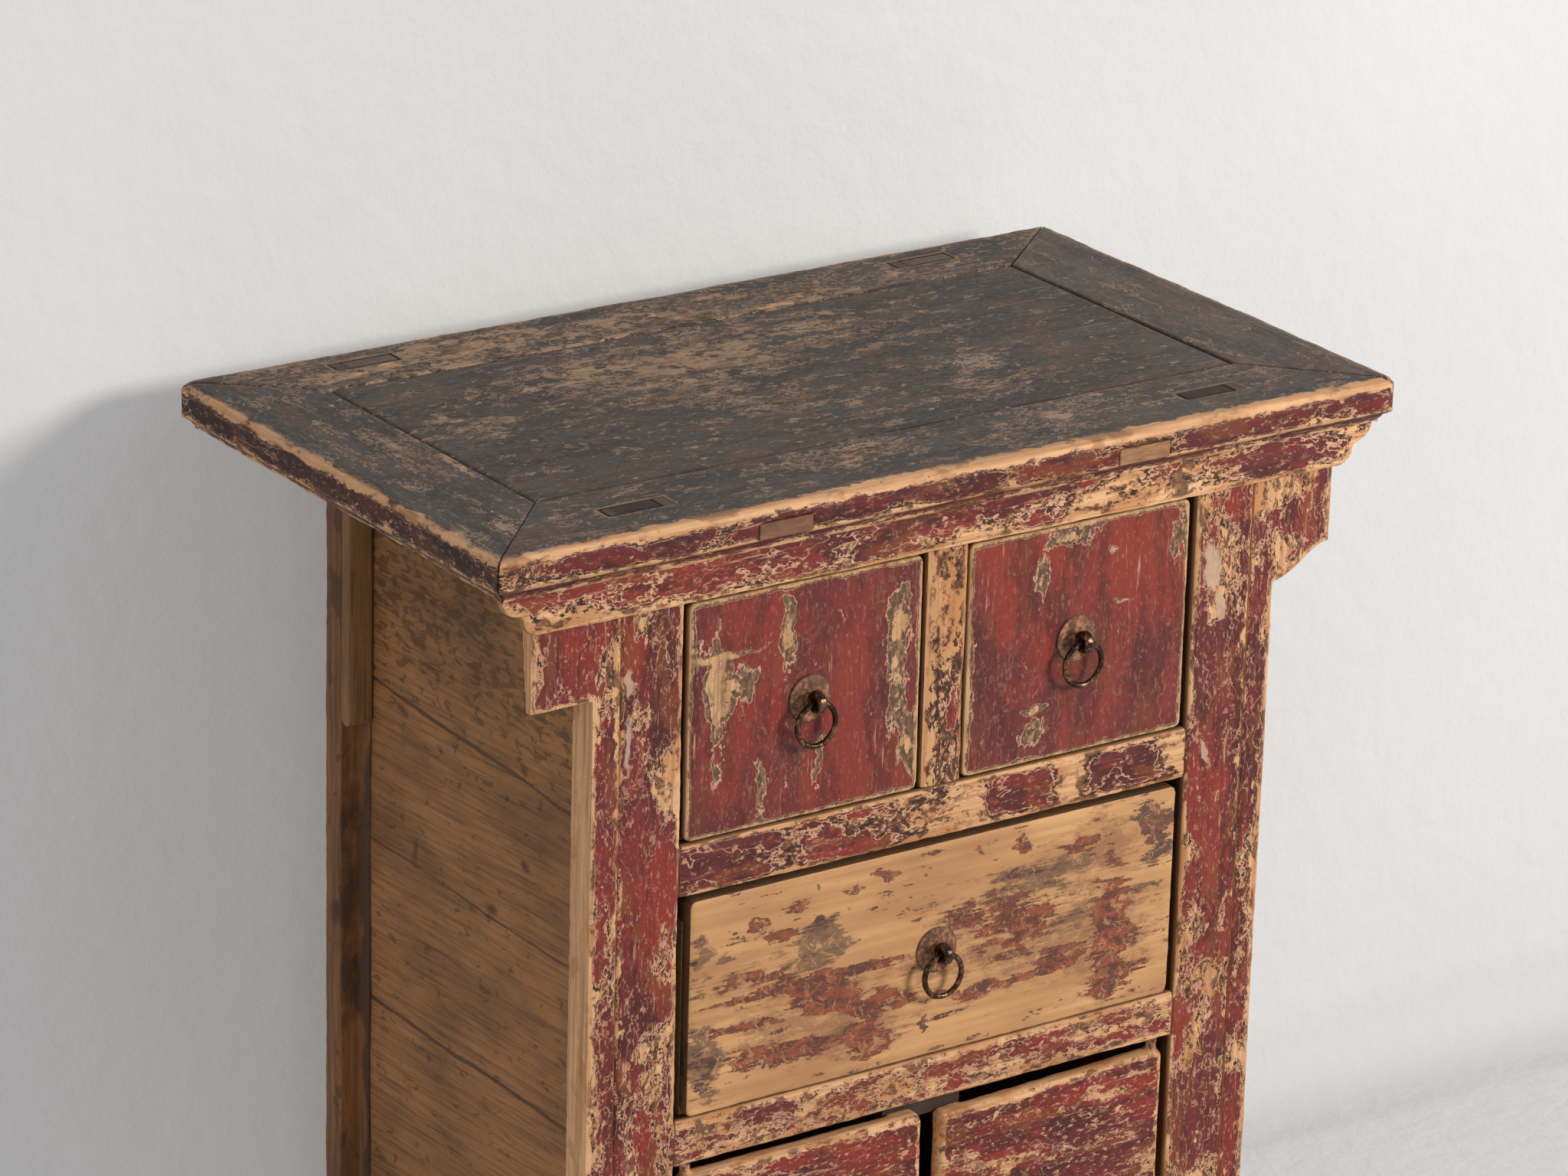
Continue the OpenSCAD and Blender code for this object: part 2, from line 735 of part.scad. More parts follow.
module runners_upper() { runner_pair(upper_z, D_LEFT, D_RIGHT); }
module runners_lower() { runner_pair(middle_z, D_MIDDLE, D_MIDDLE); }

// One wide runner between the upper drawers, with one guide on it
module runner_middle() {
    x0 = drawer_x1(D_LEFT);
    x1 = drawer_x0(D_RIGHT);
    ledge = side_t + runner_ledge;
    color(inner_wood) {
        block([x0 - ledge, rail_back_y, upper_z - runner_h], [x1 + ledge, rear_post_y, upper_z]);
        block([x0 + guide_clear, rail_back_y, upper_z], [x1 - guide_clear, rear_post_y, upper_z + guide_h]);
    }
}

// Drawers: the sides are lapped into the ends of the front, the bottom runs in grooves

module drawer_side_pair(k) {
    for (x = [drawer_x0(k), drawer_x1(k) - side_t])
        block([x, drawer_y(k) + front_t - side_t, box_z0(k)], [x + side_t, drawer_back(k), box_z1(k)]);
}

module drawer_bottom_solid(k) {
    z = box_z0(k) + bottom_rise;
    block([drawer_x0(k) + side_t - bottom_groove, drawer_y(k) + front_t - bottom_groove, z],
          [drawer_x1(k) - side_t + bottom_groove, drawer_back(k), z + bottom_t]);
}

module pull_hole(i) {
    translate([pull_x[i], pull_y[i] - 1, pull_z[i]]) rotate([-90, 0, 0])
        cylinder(h = pull_t[i] + 2, d = shank_dia + 2 * shank_clear);
}

module drawer_front(k) {
    color(k == D_MIDDLE ? tan_wood : red) difference() {
        slab_xz(drawer_y(k), drawer_y(k) + front_t)
            rounded_outline(drawer_x0(k), drawer_z0(k), drawer_x1(k), drawer_z1(k), front_r);
        // Rebates for the sides, open at the ends and below
        lap_y = drawer_y(k) + front_t - side_t;
        for (x = [[drawer_x0(k) - 1, drawer_x0(k) + side_t], [drawer_x1(k) - side_t, drawer_x1(k) + 1]])
            block([x[0], lap_y, drawer_z0(k) - 1], [x[1], lap_y + side_t + 1, box_z1(k)]);
        drawer_bottom_solid(k);
        pull_hole(k);
    }
}

module drawer_sides(k) { color(inner_wood) difference() { drawer_side_pair(k); drawer_bottom_solid(k); } }

module drawer_back_board(k) {
    z = box_z0(k) + bottom_rise + bottom_t;
    color(inner_wood)
        block([drawer_x0(k) + side_t, drawer_back(k) - side_t, z],
              [drawer_x1(k) - side_t, drawer_back(k), box_z1(k)]);
}

module drawer_bottom(k) { color(inner_wood) drawer_bottom_solid(k); }

// A plain board door that turns on round wooden pivots at its outer edge
module door(s, taper) {
    x0 = door_edge(s);
    x1 = door_x1 - door_t;
    color(red) {
        difference() {
            on_side(s) slab_xz(front_y, front_y + door_t) difference() {
                rounded_outline(x0, door_z0, door_x1, door_z1, door_r);
                if (taper > 0)
                    polygon([[x0 - 1, door_z1 - taper], [x0, door_z1 - taper], [x1, door_z1],
                             [x1, door_z1 + 1], [x0 - 1, door_z1 + 1]]);
            }
            pull_hole(s < 0 ? 3 : 4);
        }
        translate([s * pivot_x, pivot_y, door_z - pivot_l])
            cylinder(h = door_z0 + 1 - (door_z - pivot_l), d = pivot_dia);
        translate([s * pivot_x, pivot_y, door_z1 - 1])
            cylinder(h = rail_2_z + pivot_l - (door_z1 - 1), d = pivot_dia);
    }
}

// Cleat under the rail above the doors; both free edges shut against it
module door_stop() {
    color(inner_wood) translate([door_gap_shift, 0, 0])
        block([-stop_w / 2, stop_y, rail_2_z - door_gap_top - stop_h], [stop_w / 2, rail_back_y, rail_2_z]);
}

// A ring pull: a round plate, a cotter with a bulging eye, and a ring that hangs in the eye
module at_pull(i) { translate([pull_x[i], pull_y[i], pull_z[i]]) children(); }

// Section of the eye, a stadium across the hole
module eye_section() {
    r = eye_band / 2;
    a = eye_w / 2 - r;
    translate([eye_r, 0]) {
        for (x = [-a, a]) translate([0, x]) circle(r);
        translate([-r, -a]) square([eye_band, 2 * a]);
    }
}

module pull(i) {
    color(iron) at_pull(i) {
        rotate([90, 0, 0]) difference() {
            cylinder(h = plate_t, d = plate_dia);
            translate([0, 0, -1]) cylinder(h = plate_t + 2, d = shank_dia + 2 * shank_clear);
        }
        difference() {
            union() {
                translate([0, -eye_out, 0]) rotate([0, 90, 0]) rotate_extrude() eye_section();
                translate([0, -eye_out + eye_r, 0]) rotate([-90, 0, 0])
                    cylinder(h = eye_out - eye_r + pull_t[i] + leg_t, d = shank_dia);
                block([-shank_dia / 2, pull_t[i], -leg_l], [shank_dia / 2, pull_t[i] + leg_t, leg_l]);
            }
            translate([-eye_w, -eye_out, 0]) rotate([0, 90, 0]) cylinder(h = 2 * eye_w, r = eye_hole_r);
        }
    }
}

module ring(i) {
    color(iron) at_pull(i) translate([0, -eye_out, -ring_drop - ring_r]) rotate([90, 0, 0])
        rotate_extrude() translate([ring_r, 0]) circle(ring_wire / 2);
}

top_front_member();
top_rear_member();
top_end_member(-1);  // top_left_member
top_end_member(1);  // top_right_member
top_panel();
top_battens();
tenon_wedges();
frieze();
post_front(-1);  // post_front_left
post_front(1);  // post_front_right
post_rear(-1);  // post_rear_left
post_rear(1);  // post_rear_right
wing(-1, wing_lip_left);  // wing_left
wing(1, wing_lip_right);  // wing_right
rear_battens();
rail_top();
rail_1();
rail_2();
rail_bottom();
muntin();
apron();
side_rail_top(-1);  // side_rail_top_left
side_rail_top(1);  // side_rail_top_right
side_rail_bottom(-1);  // side_rail_bottom_left
side_rail_bottom(1);  // side_rail_bottom_right
side_planks(-1);  // side_planks_left
side_planks(1);  // side_planks_right
back_rail_top();
back_rail_middle();
back_rail_bottom();
back_boards();
cupboard_floor();
runners_upper();
runner_middle();
runners_lower();
drawer_front(D_LEFT);  // drawer_left_front
drawer_sides(D_LEFT);  // drawer_left_sides
drawer_back_board(D_LEFT);  // drawer_left_back
drawer_bottom(D_LEFT);  // drawer_left_bottom
drawer_front(D_RIGHT);  // drawer_right_front
drawer_sides(D_RIGHT);  // drawer_right_sides
drawer_back_board(D_RIGHT);  // drawer_right_back
drawer_bottom(D_RIGHT);  // drawer_right_bottom
drawer_front(D_MIDDLE);  // drawer_middle_front
drawer_sides(D_MIDDLE);  // drawer_middle_sides
drawer_back_board(D_MIDDLE);  // drawer_middle_back
drawer_bottom(D_MIDDLE);  // drawer_middle_bottom
door(-1, 0);  // door_left
door(1, door_taper_right);  // door_right
door_stop();
for (i = [0 : len(PULLS) - 1]) pull(i);
for (i = [0 : len(PULLS) - 1]) ring(i);
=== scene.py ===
import json
import math

import bpy
from mathutils import Matrix, Vector
from mathutils.bvhtree import BVHTree
from mathutils.kdtree import KDTree


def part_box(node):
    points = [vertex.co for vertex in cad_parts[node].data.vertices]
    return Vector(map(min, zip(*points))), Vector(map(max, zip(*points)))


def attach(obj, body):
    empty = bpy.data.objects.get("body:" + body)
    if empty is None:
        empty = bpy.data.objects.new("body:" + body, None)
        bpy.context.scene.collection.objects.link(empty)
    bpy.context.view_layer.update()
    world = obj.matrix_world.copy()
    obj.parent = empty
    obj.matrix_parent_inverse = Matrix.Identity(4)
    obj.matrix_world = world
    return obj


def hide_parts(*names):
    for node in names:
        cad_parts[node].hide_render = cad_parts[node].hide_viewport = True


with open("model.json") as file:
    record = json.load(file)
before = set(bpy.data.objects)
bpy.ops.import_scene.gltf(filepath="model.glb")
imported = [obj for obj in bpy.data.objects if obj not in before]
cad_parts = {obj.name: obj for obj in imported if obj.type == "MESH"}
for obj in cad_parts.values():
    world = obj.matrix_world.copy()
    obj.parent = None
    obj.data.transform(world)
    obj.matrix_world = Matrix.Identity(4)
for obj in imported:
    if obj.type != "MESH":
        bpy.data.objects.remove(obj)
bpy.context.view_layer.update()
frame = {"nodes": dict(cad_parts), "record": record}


# The room: a matt off-white floor swept up into a wall close behind, one large soft lamp high on the
# right in front, a weaker one on the left, and a camera with a long lens that looks down on the top.
def tint(code):
    """An sRGB hex colour as linear light."""
    shares = [int(code[i:i + 2], 16) / 255 for i in (1, 3, 5)]
    return [s / 12.92 if s <= 0.04045 else ((s + 0.055) / 1.055) ** 2.4 for s in shares] + [1.0]


def lay(tree, kind, inputs=(), **settings):
    """Adds one node to a finish, with its settings and what feeds it, and gives its first output. A Mix
    blends colours: 0 is the share, 6 the colour below and 7 the colour above."""
    step = tree.nodes.new("ShaderNode" + kind)
    if kind == "Mix":
        step.data_type = "RGBA"
    for word, value in settings.items():
        setattr(step, word, value)
    for place, value in dict(inputs).items():
        if isinstance(value, bpy.types.NodeSocket):
            tree.links.new(value, step.inputs[place])
        else:
            step.inputs[place].default_value = value
    return next(way for way in step.outputs if way.enabled)


def new_finish(name):
    """An empty material, its nodes, and the place on the piece that its patterns read."""
    finish = bpy.data.materials.new(name)
    finish.use_nodes = True
    tree = finish.node_tree
    tree.nodes.clear()
    tree.nodes.new("ShaderNodeOutputMaterial")
    return finish, tree, lay(tree, "TexCoord").node.outputs["Object"]


bpy.ops.object.select_all(action="DESELECT")
bpy.ops.mesh.primitive_plane_add(size=30.0, location=(0, -14.73, 0))
sweep = bpy.context.object
sweep.name = "studio_sweep"
bpy.ops.object.mode_set(mode="EDIT")
bpy.ops.mesh.select_all(action="DESELECT")
bpy.ops.object.mode_set(mode="OBJECT")
for edge in sweep.data.edges:
    edge.select = all(sweep.data.vertices[i].co.y > 14.0 for i in edge.vertices)
bpy.ops.object.mode_set(mode="EDIT")
bpy.ops.mesh.select_mode(type="EDGE")
bpy.ops.mesh.extrude_region_move(TRANSFORM_OT_translate={"value": (0, 0, 12)})
bpy.ops.object.mode_set(mode="OBJECT")
for edge in sweep.data.edges:
    edge.select = all(abs(sweep.data.vertices[i].co.y - 15) + abs(sweep.data.vertices[i].co.z) < 0.01
                      for i in edge.vertices)
bpy.ops.object.mode_set(mode="EDIT")
bpy.ops.mesh.bevel(offset=0.06, segments=12, affect="EDGES")
if sweep.data.polygons[0].normal.z < 0:
    bpy.ops.mesh.select_all(action="SELECT")
    bpy.ops.mesh.flip_normals()
bpy.ops.object.mode_set(mode="OBJECT")
bpy.ops.object.transform_apply()
bpy.ops.object.shade_smooth()
bpy.ops.object.select_all(action="DESELECT")
bpy.ops.mesh.primitive_plane_add(size=40.0, location=(0, 0, -0.0005))
under = bpy.context.object
under.name = "studio_floor"
bpy.ops.object.transform_apply()

# Matt wall paint: no gloss, a faint cloudiness of a few hundred millimetres, a fine roller grain, and a
# little grey painted in as painted shade where the floor turns up into the wall.
chalk, tree, place = new_finish("matt_white_paint")
cloud = lay(tree, "TexNoise", {"Vector": place, "Scale": 2.2, "Detail": 3.0})
shade = lay(tree, "Mix", {0: cloud, 6: tint("#e4e4e3"), 7: tint("#efefee")})
spot = lay(tree, "SeparateXYZ", {0: place}).node.outputs
# painted shade: a little grey where the floor curves up into the wall
painted_cove_shade = lay(tree, "MapRange", {"Value": spot["Y"], "From Min": 0.19, "From Max": 0.235})
foot = lay(tree, "MapRange", {"Value": spot["Z"], "From Min": 0.09, "From Max": 0.0, "To Max": 0.55})
painted_cove_shade = lay(tree, "Math", {0: painted_cove_shade, 1: foot}, operation="MULTIPLY")
shade = lay(tree, "Mix", {0: painted_cove_shade, 6: shade, 7: tint("#c9c9c8")})
roller = lay(tree, "TexNoise", {"Vector": place, "Scale": 38.0, "Detail": 6.0, "Roughness": 0.6})
relief = lay(tree, "Bump", {"Height": roller, "Strength": 0.5, "Distance": 0.005})
skin = lay(tree, "BsdfPrincipled", {"Base Color": shade, "Roughness": 0.9, "Normal": relief})
glow = lay(tree, "Emission", {"Color": shade, "Strength": 0.9})
ray = lay(tree, "LightPath").node.outputs
seen = lay(tree, "Math", {0: ray["Is Camera Ray"], 1: ray["Is Glossy Ray"]}, operation="MAXIMUM")
seen = lay(tree, "Math", {0: seen, 1: 0.2}, operation="MULTIPLY")
skin = lay(tree, "MixShader", {0: seen, 1: skin, 2: glow})
behind = lay(tree, "NewGeometry").node.outputs["Backfacing"]
skin = lay(tree, "MixShader", {0: behind, 1: skin, 2: lay(tree, "BsdfTransparent")})
tree.links.new(skin, tree.nodes["Material Output"].inputs["Surface"])
for spread in (sweep, under):
    spread.visible_diffuse = False
    spread.visible_shadow = False
    spread.data.materials.append(chalk)

world = bpy.data.worlds.new("studio")
bpy.context.scene.world = world
world.use_nodes = True
world.node_tree.nodes["Background"].inputs["Color"].default_value = tint("#f2f4f8")
world.node_tree.nodes["Background"].inputs["Strength"].default_value = 0.42

for name, spot, aim, width, power, light in (
        ("key_softbox", (2.45, -3.1, 2.0), (0.0, 0.0, 0.6), 1.0, 126.0, (1.0, 0.965, 0.92)),
        ("left_fill", (-3.2, -1.6, 1.8), (0.0, 0.0, 0.5), 2.2, 16.0, (1.0, 1.0, 1.0))):
    lamp = bpy.data.objects.new(name, bpy.data.lights.new(name, "AREA"))
    lamp.data.size = width
    lamp.data.energy = power
    lamp.data.color = light
    lamp.location = spot
    lamp.rotation_euler = (Vector(aim) - Vector(spot)).to_track_quat("-Z", "Y").to_euler()
    bpy.context.scene.collection.objects.link(lamp)

az, el, roll = (math.radians(turn) for turn in (-34.797, 20.283, 1.532))
ahead = Vector((-math.sin(az) * math.cos(el), math.cos(az) * math.cos(el), -math.sin(el)))
level = Vector((math.cos(az), math.sin(az), 0.0))
across = math.cos(roll) * level + math.sin(roll) * level.cross(ahead)
upward = -math.sin(roll) * level + math.cos(roll) * level.cross(ahead)
camera = bpy.data.objects.new("camera", bpy.data.cameras.new("camera"))
camera.data.lens = 149.11
camera.data.sensor_width = 36.0
camera.data.clip_end = 100.0
camera.matrix_world = Matrix.Translation((-2.5753, -3.7015, 2.3634)) @ Matrix(
    (across, upward, -ahead)).transposed().to_4x4()
bpy.context.scene.collection.objects.link(camera)
bpy.context.scene.camera = camera
bpy.context.scene.view_settings.view_transform = "Standard"


# The posts: four softwood posts, tenoned up through the top. Brush lacquer over a dark ground, scraped
# and worn through along the grain until it stands as red islands with a thin pale rim on bare wood.
body_of = {node: body for body, nodes in frame["record"]["behaviour"]["bodies"].items() for node in nodes}


def outer_arrises(node, mesh, free):
    """Points along the piece's own sharp corners with no neighbour nearer than free, as a search tree."""
    low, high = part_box(node)
    touching = 0.002
    near = []
    for other in frame["nodes"]:
        if other == node:
            continue
        lo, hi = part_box(other)
        if all(lo[i] < high[i] + touching and hi[i] > low[i] - touching for i in range(3)):
            body = frame["nodes"][other].data
            near.append(BVHTree.FromPolygons([v.co for v in body.vertices],
                                             [tuple(p.vertices) for p in body.polygons]))
    faces_at = {}
    for face in mesh.polygons:
        for pair in face.edge_keys:
            faces_at.setdefault(pair, []).append(face)
    blunt = 0.86  # the cosine of some 30 degrees
    step = 0.002
    points = []
    for (a, b), faces in faces_at.items():
        if len(faces) != 2 or faces[0].normal.dot(faces[1].normal) > blunt:
            continue
        if faces[0].normal.dot(faces[1].center - faces[0].center) > 0:
            continue
        start, end = mesh.vertices[a].co, mesh.vertices[b].co
        count = max(1, int((end - start).length / step))
        for i in range(count + 1):
            point = start.lerp(end, i / count)
            if not any(tree.find_nearest(point, free)[0] for tree in near):
                points.append(point)
    points.append(Vector((9.0, 9.0, 9.0)))
    known = KDTree(len(points))
    for i, point in enumerate(points):
        known.insert(point, i)
    known.balance()
    return known


def aged(node, cell=0.0018, soften=4, wander=0.0006, nibble=0.0008, keep=0.4, free=0.0009, corner=0.0,
         tips=()):
    """A copy of the sawn piece, its arrises rubbed round and nibbled, its faces slightly out of true."""
    low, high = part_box(node)
    piece = bpy.data.objects.new(node + "_aged", frame["nodes"][node].data.copy())
    bpy.context.scene.collection.objects.link(piece)
    bpy.ops.object.select_all(action="DESELECT")
    piece.select_set(True)
    bpy.context.view_layer.objects.active = piece
    bpy.ops.object.mode_set(mode="EDIT")
    bpy.ops.mesh.select_all(action="SELECT")
    bpy.ops.mesh.remove_doubles(threshold=0.00002)
    if corner:
        bpy.ops.mesh.select_all(action="DESELECT")
        bpy.ops.object.mode_set(mode="OBJECT")
        for edge in piece.data.edges:
            ends = [piece.data.vertices[i].co for i in edge.vertices]
            off = [min(end.x - low[0], high[0] - end.x) + min(end.z - low[2], high[2] - end.z)
                   for end in ends]
            edge.select = max(off) < 0.0002 and abs(ends[0].y - ends[1].y) > 0.002
        bpy.ops.object.mode_set(mode="EDIT")
        bpy.ops.mesh.bevel(offset=corner, segments=6, affect="EDGES")
    bpy.ops.object.mode_set(mode="OBJECT")
    known = outer_arrises(node, piece.data, free)
    finer = piece.modifiers.new("finer", "REMESH")
    finer.mode = "VOXEL"
    finer.voxel_size = cell * (2.0 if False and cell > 0.001 else 1.0)
    bpy.ops.object.modifier_apply(modifier="finer")
    rubbed_width, arris_width = 0.006, 0.014
    worn = piece.vertex_groups.new(name="worn")
    for spot in piece.data.vertices:
        share = max(0.0, 1.0 - known.find(spot.co)[2] / rubbed_width)
        if share:
            worn.add([spot.index], share, "REPLACE")
    rub = piece.modifiers.new("rub", "SMOOTH")
    rub.iterations = soften
    rub.vertex_group = "worn"
    for word, grain, depth, group in (("wander", 0.11, wander, ""), ("nibble", 0.014, nibble, "worn"),
                                      ("dint", 0.045, nibble, "worn")):
        cloud = bpy.data.textures.new(node + "_" + word, "CLOUDS")
        cloud.noise_scale = grain
        cloud.noise_depth = 2
        cloud.contrast = 1.6
        push = piece.modifiers.new(word, "DISPLACE")
        push.texture = cloud
        push.strength = depth
        push.mid_level = 1.0
        push.vertex_group = group
    for word in ("rub", "wander", "nibble", "dint"):
        bpy.ops.object.modifier_apply(modifier=word)
    if keep < 1.0:
        fewer = piece.modifiers.new("fewer", "DECIMATE")
        fewer.ratio = keep
        bpy.ops.object.modifier_apply(modifier="fewer")
    for spot in piece.data.vertices:
        spot.co = [min(max(spot.co[i], low[i]), high[i]) for i in range(3)]
        for wide, deep, radius in tips:
            off = Vector((spot.co.x * math.copysign(1, wide) - abs(wide) + radius,
                          spot.co.y * math.copysign(1, deep) - abs(deep) + radius))
            if min(off) <= 0:
                continue
            fall = 0.5 * radius * min(1.0, min(off) / radius) ** 1.5
            spot.co.z -= fall * (spot.co.z - low[2]) / (high[2] - low[2])
            if off.length > radius:
                off *= radius / off.length
                spot.co.x = math.copysign(abs(wide) - radius + off.x, wide)
                spot.co.y = math.copysign(abs(deep) - radius + off.y, deep)
    arris = piece.data.attributes.new("arris", "FLOAT", "POINT")
    arris.data.foreach_set("value", [max(0.0, 1.0 - known.find(spot.co)[2] / arris_width)
                                     for spot in piece.data.vertices])
    bpy.ops.object.shade_smooth()
    piece.data.materials.clear()
    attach(piece, body_of[node])
    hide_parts(node)
    return piece


def patch(tree, place, total, face, u, v, half_u, half_v, turn, weight):
    """Adds a rubbed or a spared patch to the wear, its place and half lengths in mm on that face."""
    turn = math.radians(turn)
    spot, size, about = {
        "front": ((u, 0.0, v), (half_u, 5000.0, half_v), (0.0, -turn, 0.0)),
        "top": ((u, v, 860.0), (half_u, half_v, 7.0), (0.0, 0.0, turn)),
        "side": ((0.0, u, v), (5000.0, half_u, half_v), (turn, 0.0, 0.0))}[face]
    local = lay(tree, "Mapping", {"Vector": place, "Location": [s / 1000 for s in spot], "Rotation": about,
                                  "Scale": [s / 1000 for s in size]}, vector_type="TEXTURE")
    depth = lay(tree, "TexGradient", {"Vector": local}, gradient_type="SPHERICAL")
    return lay(tree, "Math", {0: depth, 1: weight, 2: total}, operation="MULTIPLY_ADD")


def stretched(tree, place, grain, along):
    """The place, drawn out along the grain. Flat Y is a flat-sawn board whose ends show level rings."""
    scale = {"X": (along, 1.0, 1.0), "Y": (1.0, along, 1.0), "Z": (1.0, 1.0, along),
             "flat Y": (0.2, along, 1.0)}[grain]
    return lay(tree, "VectorMath", {0: place, 1: scale}, operation="MULTIPLY")


def swayed(tree, place, over, shift, **pattern):
    """The place, pushed about by a soft noise laid over it, by up to half that shift in metres."""
    sway = lay(tree, "TexNoise", {"Vector": over, **pattern}).node.outputs["Color"]
    sway = lay(tree, "VectorMath", {0: sway, 1: (0.5, 0.5, 0.5)}, operation="SUBTRACT")
    sway = lay(tree, "VectorMath", {0: sway, 1: shift}, operation="MULTIPLY")
    return lay(tree, "VectorMath", {0: place, 1: sway}, operation="ADD")


def mottle(tree, over, start, end, most=1.0, **pattern):
    """Spots of a noise laid over the piece: none of it below start, the most of it from end up."""
    spots = lay(tree, "TexNoise", {"Vector": over, **pattern})
    return lay(tree, "MapRange", {"Value": spots, "From Min": start, "From Max": end, "To Max": most})


def hairlines(tree, over, level, start, end, most=1.0, **pattern):
    """Fine lines where a noise crosses a level: none further off than start, the most nearer than end."""
    off = lay(tree, "TexNoise", {"Vector": over, **pattern})
    off = lay(tree, "Math", {0: off, 1: level}, operation="SUBTRACT")
    off = lay(tree, "Math", {0: off}, operation="ABSOLUTE")
    return lay(tree, "MapRange", {"Value": off, "From Min": start, "From Max": end, "To Max": most})


def closed(tree, look, rough, height, strength=0.5, depth=0.0004, more=()):
    """Ends a finish: a skin with this colour and roughness, and a relief that is depth metres deep."""
    relief = lay(tree, "Bump", {"Height": height, "Strength": strength, "Distance": depth})
    skin = lay(tree, "BsdfPrincipled", {"Base Color": look, "Roughness": rough, "Normal": relief,
                                        **dict(more)})
    tree.links.new(skin, tree.nodes["Material Output"].inputs["Surface"])


# The posts' tenons come up through mortises in the top, left and right alike. Sizes in metres: how far out
# and back their middles lie, and half their length and width.
tenon_out, front_tenon, rear_tenon = 0.2505, -0.175, 0.191
tenon_half_length, tenon_half_width = 0.0265, 0.0075


def past_tenon(tree, place, middle):
    """How far a point of the top lies outside the mortise of the post's through tenon, in metres."""
    spot = lay(tree, "SeparateXYZ", {0: place}).node.outputs
    out = lay(tree, "Math", {0: spot["X"]}, operation="ABSOLUTE")
    sizes = []
    for start, centre, half in ((out, tenon_out, tenon_half_length), (spot["Y"], middle, tenon_half_width)):
        off = lay(tree, "Math", {0: start, 1: centre}, operation="SUBTRACT")
        off = lay(tree, "Math", {0: off}, operation="ABSOLUTE")
        sizes.append(lay(tree, "Math", {0: off, 1: half}, operation="SUBTRACT"))
    return lay(tree, "Math", {0: sizes[0], 1: sizes[1]}, operation="MAXIMUM")


def tenon_end(tree, place, look, rings, middle):
    """The end of a through tenon: soiled end grain with a black slit round it, just under the surface."""
    high = lay(tree, "SeparateXYZ", {0: place}).node.outputs["Z"]
    end = lay(tree, "MapRange", {"Value": high, "From Min": 0.85, "From Max": 0.854, "To Max": 0.95})
    soiled = lay(tree, "Mix", {0: rings, 6: tint("#54463b"), 7: tint("#77624f")})
    off = past_tenon(tree, place, middle)
    slit = lay(tree, "MapRange", {"Value": off, "From Min": -0.0016, "From Max": -0.001, "To Max": 0.9})
    soiled = lay(tree, "Mix", {0: slit, 6: soiled, 7: tint("#1b1411")})
    return lay(tree, "Mix", {0: end, 6: look, 7: soiled})


red_front = {"coat": "#8d3229", "faded": "#692a2a", "murk": "#3a1a17", "amber": "#8a4927", "rim": "#d3a07f",
             "ground": "#361d15", "dust": "#83543a", "timber": "#ebb684", "dark timber": "#b27a4e",
             "glow": "#b8733b"}


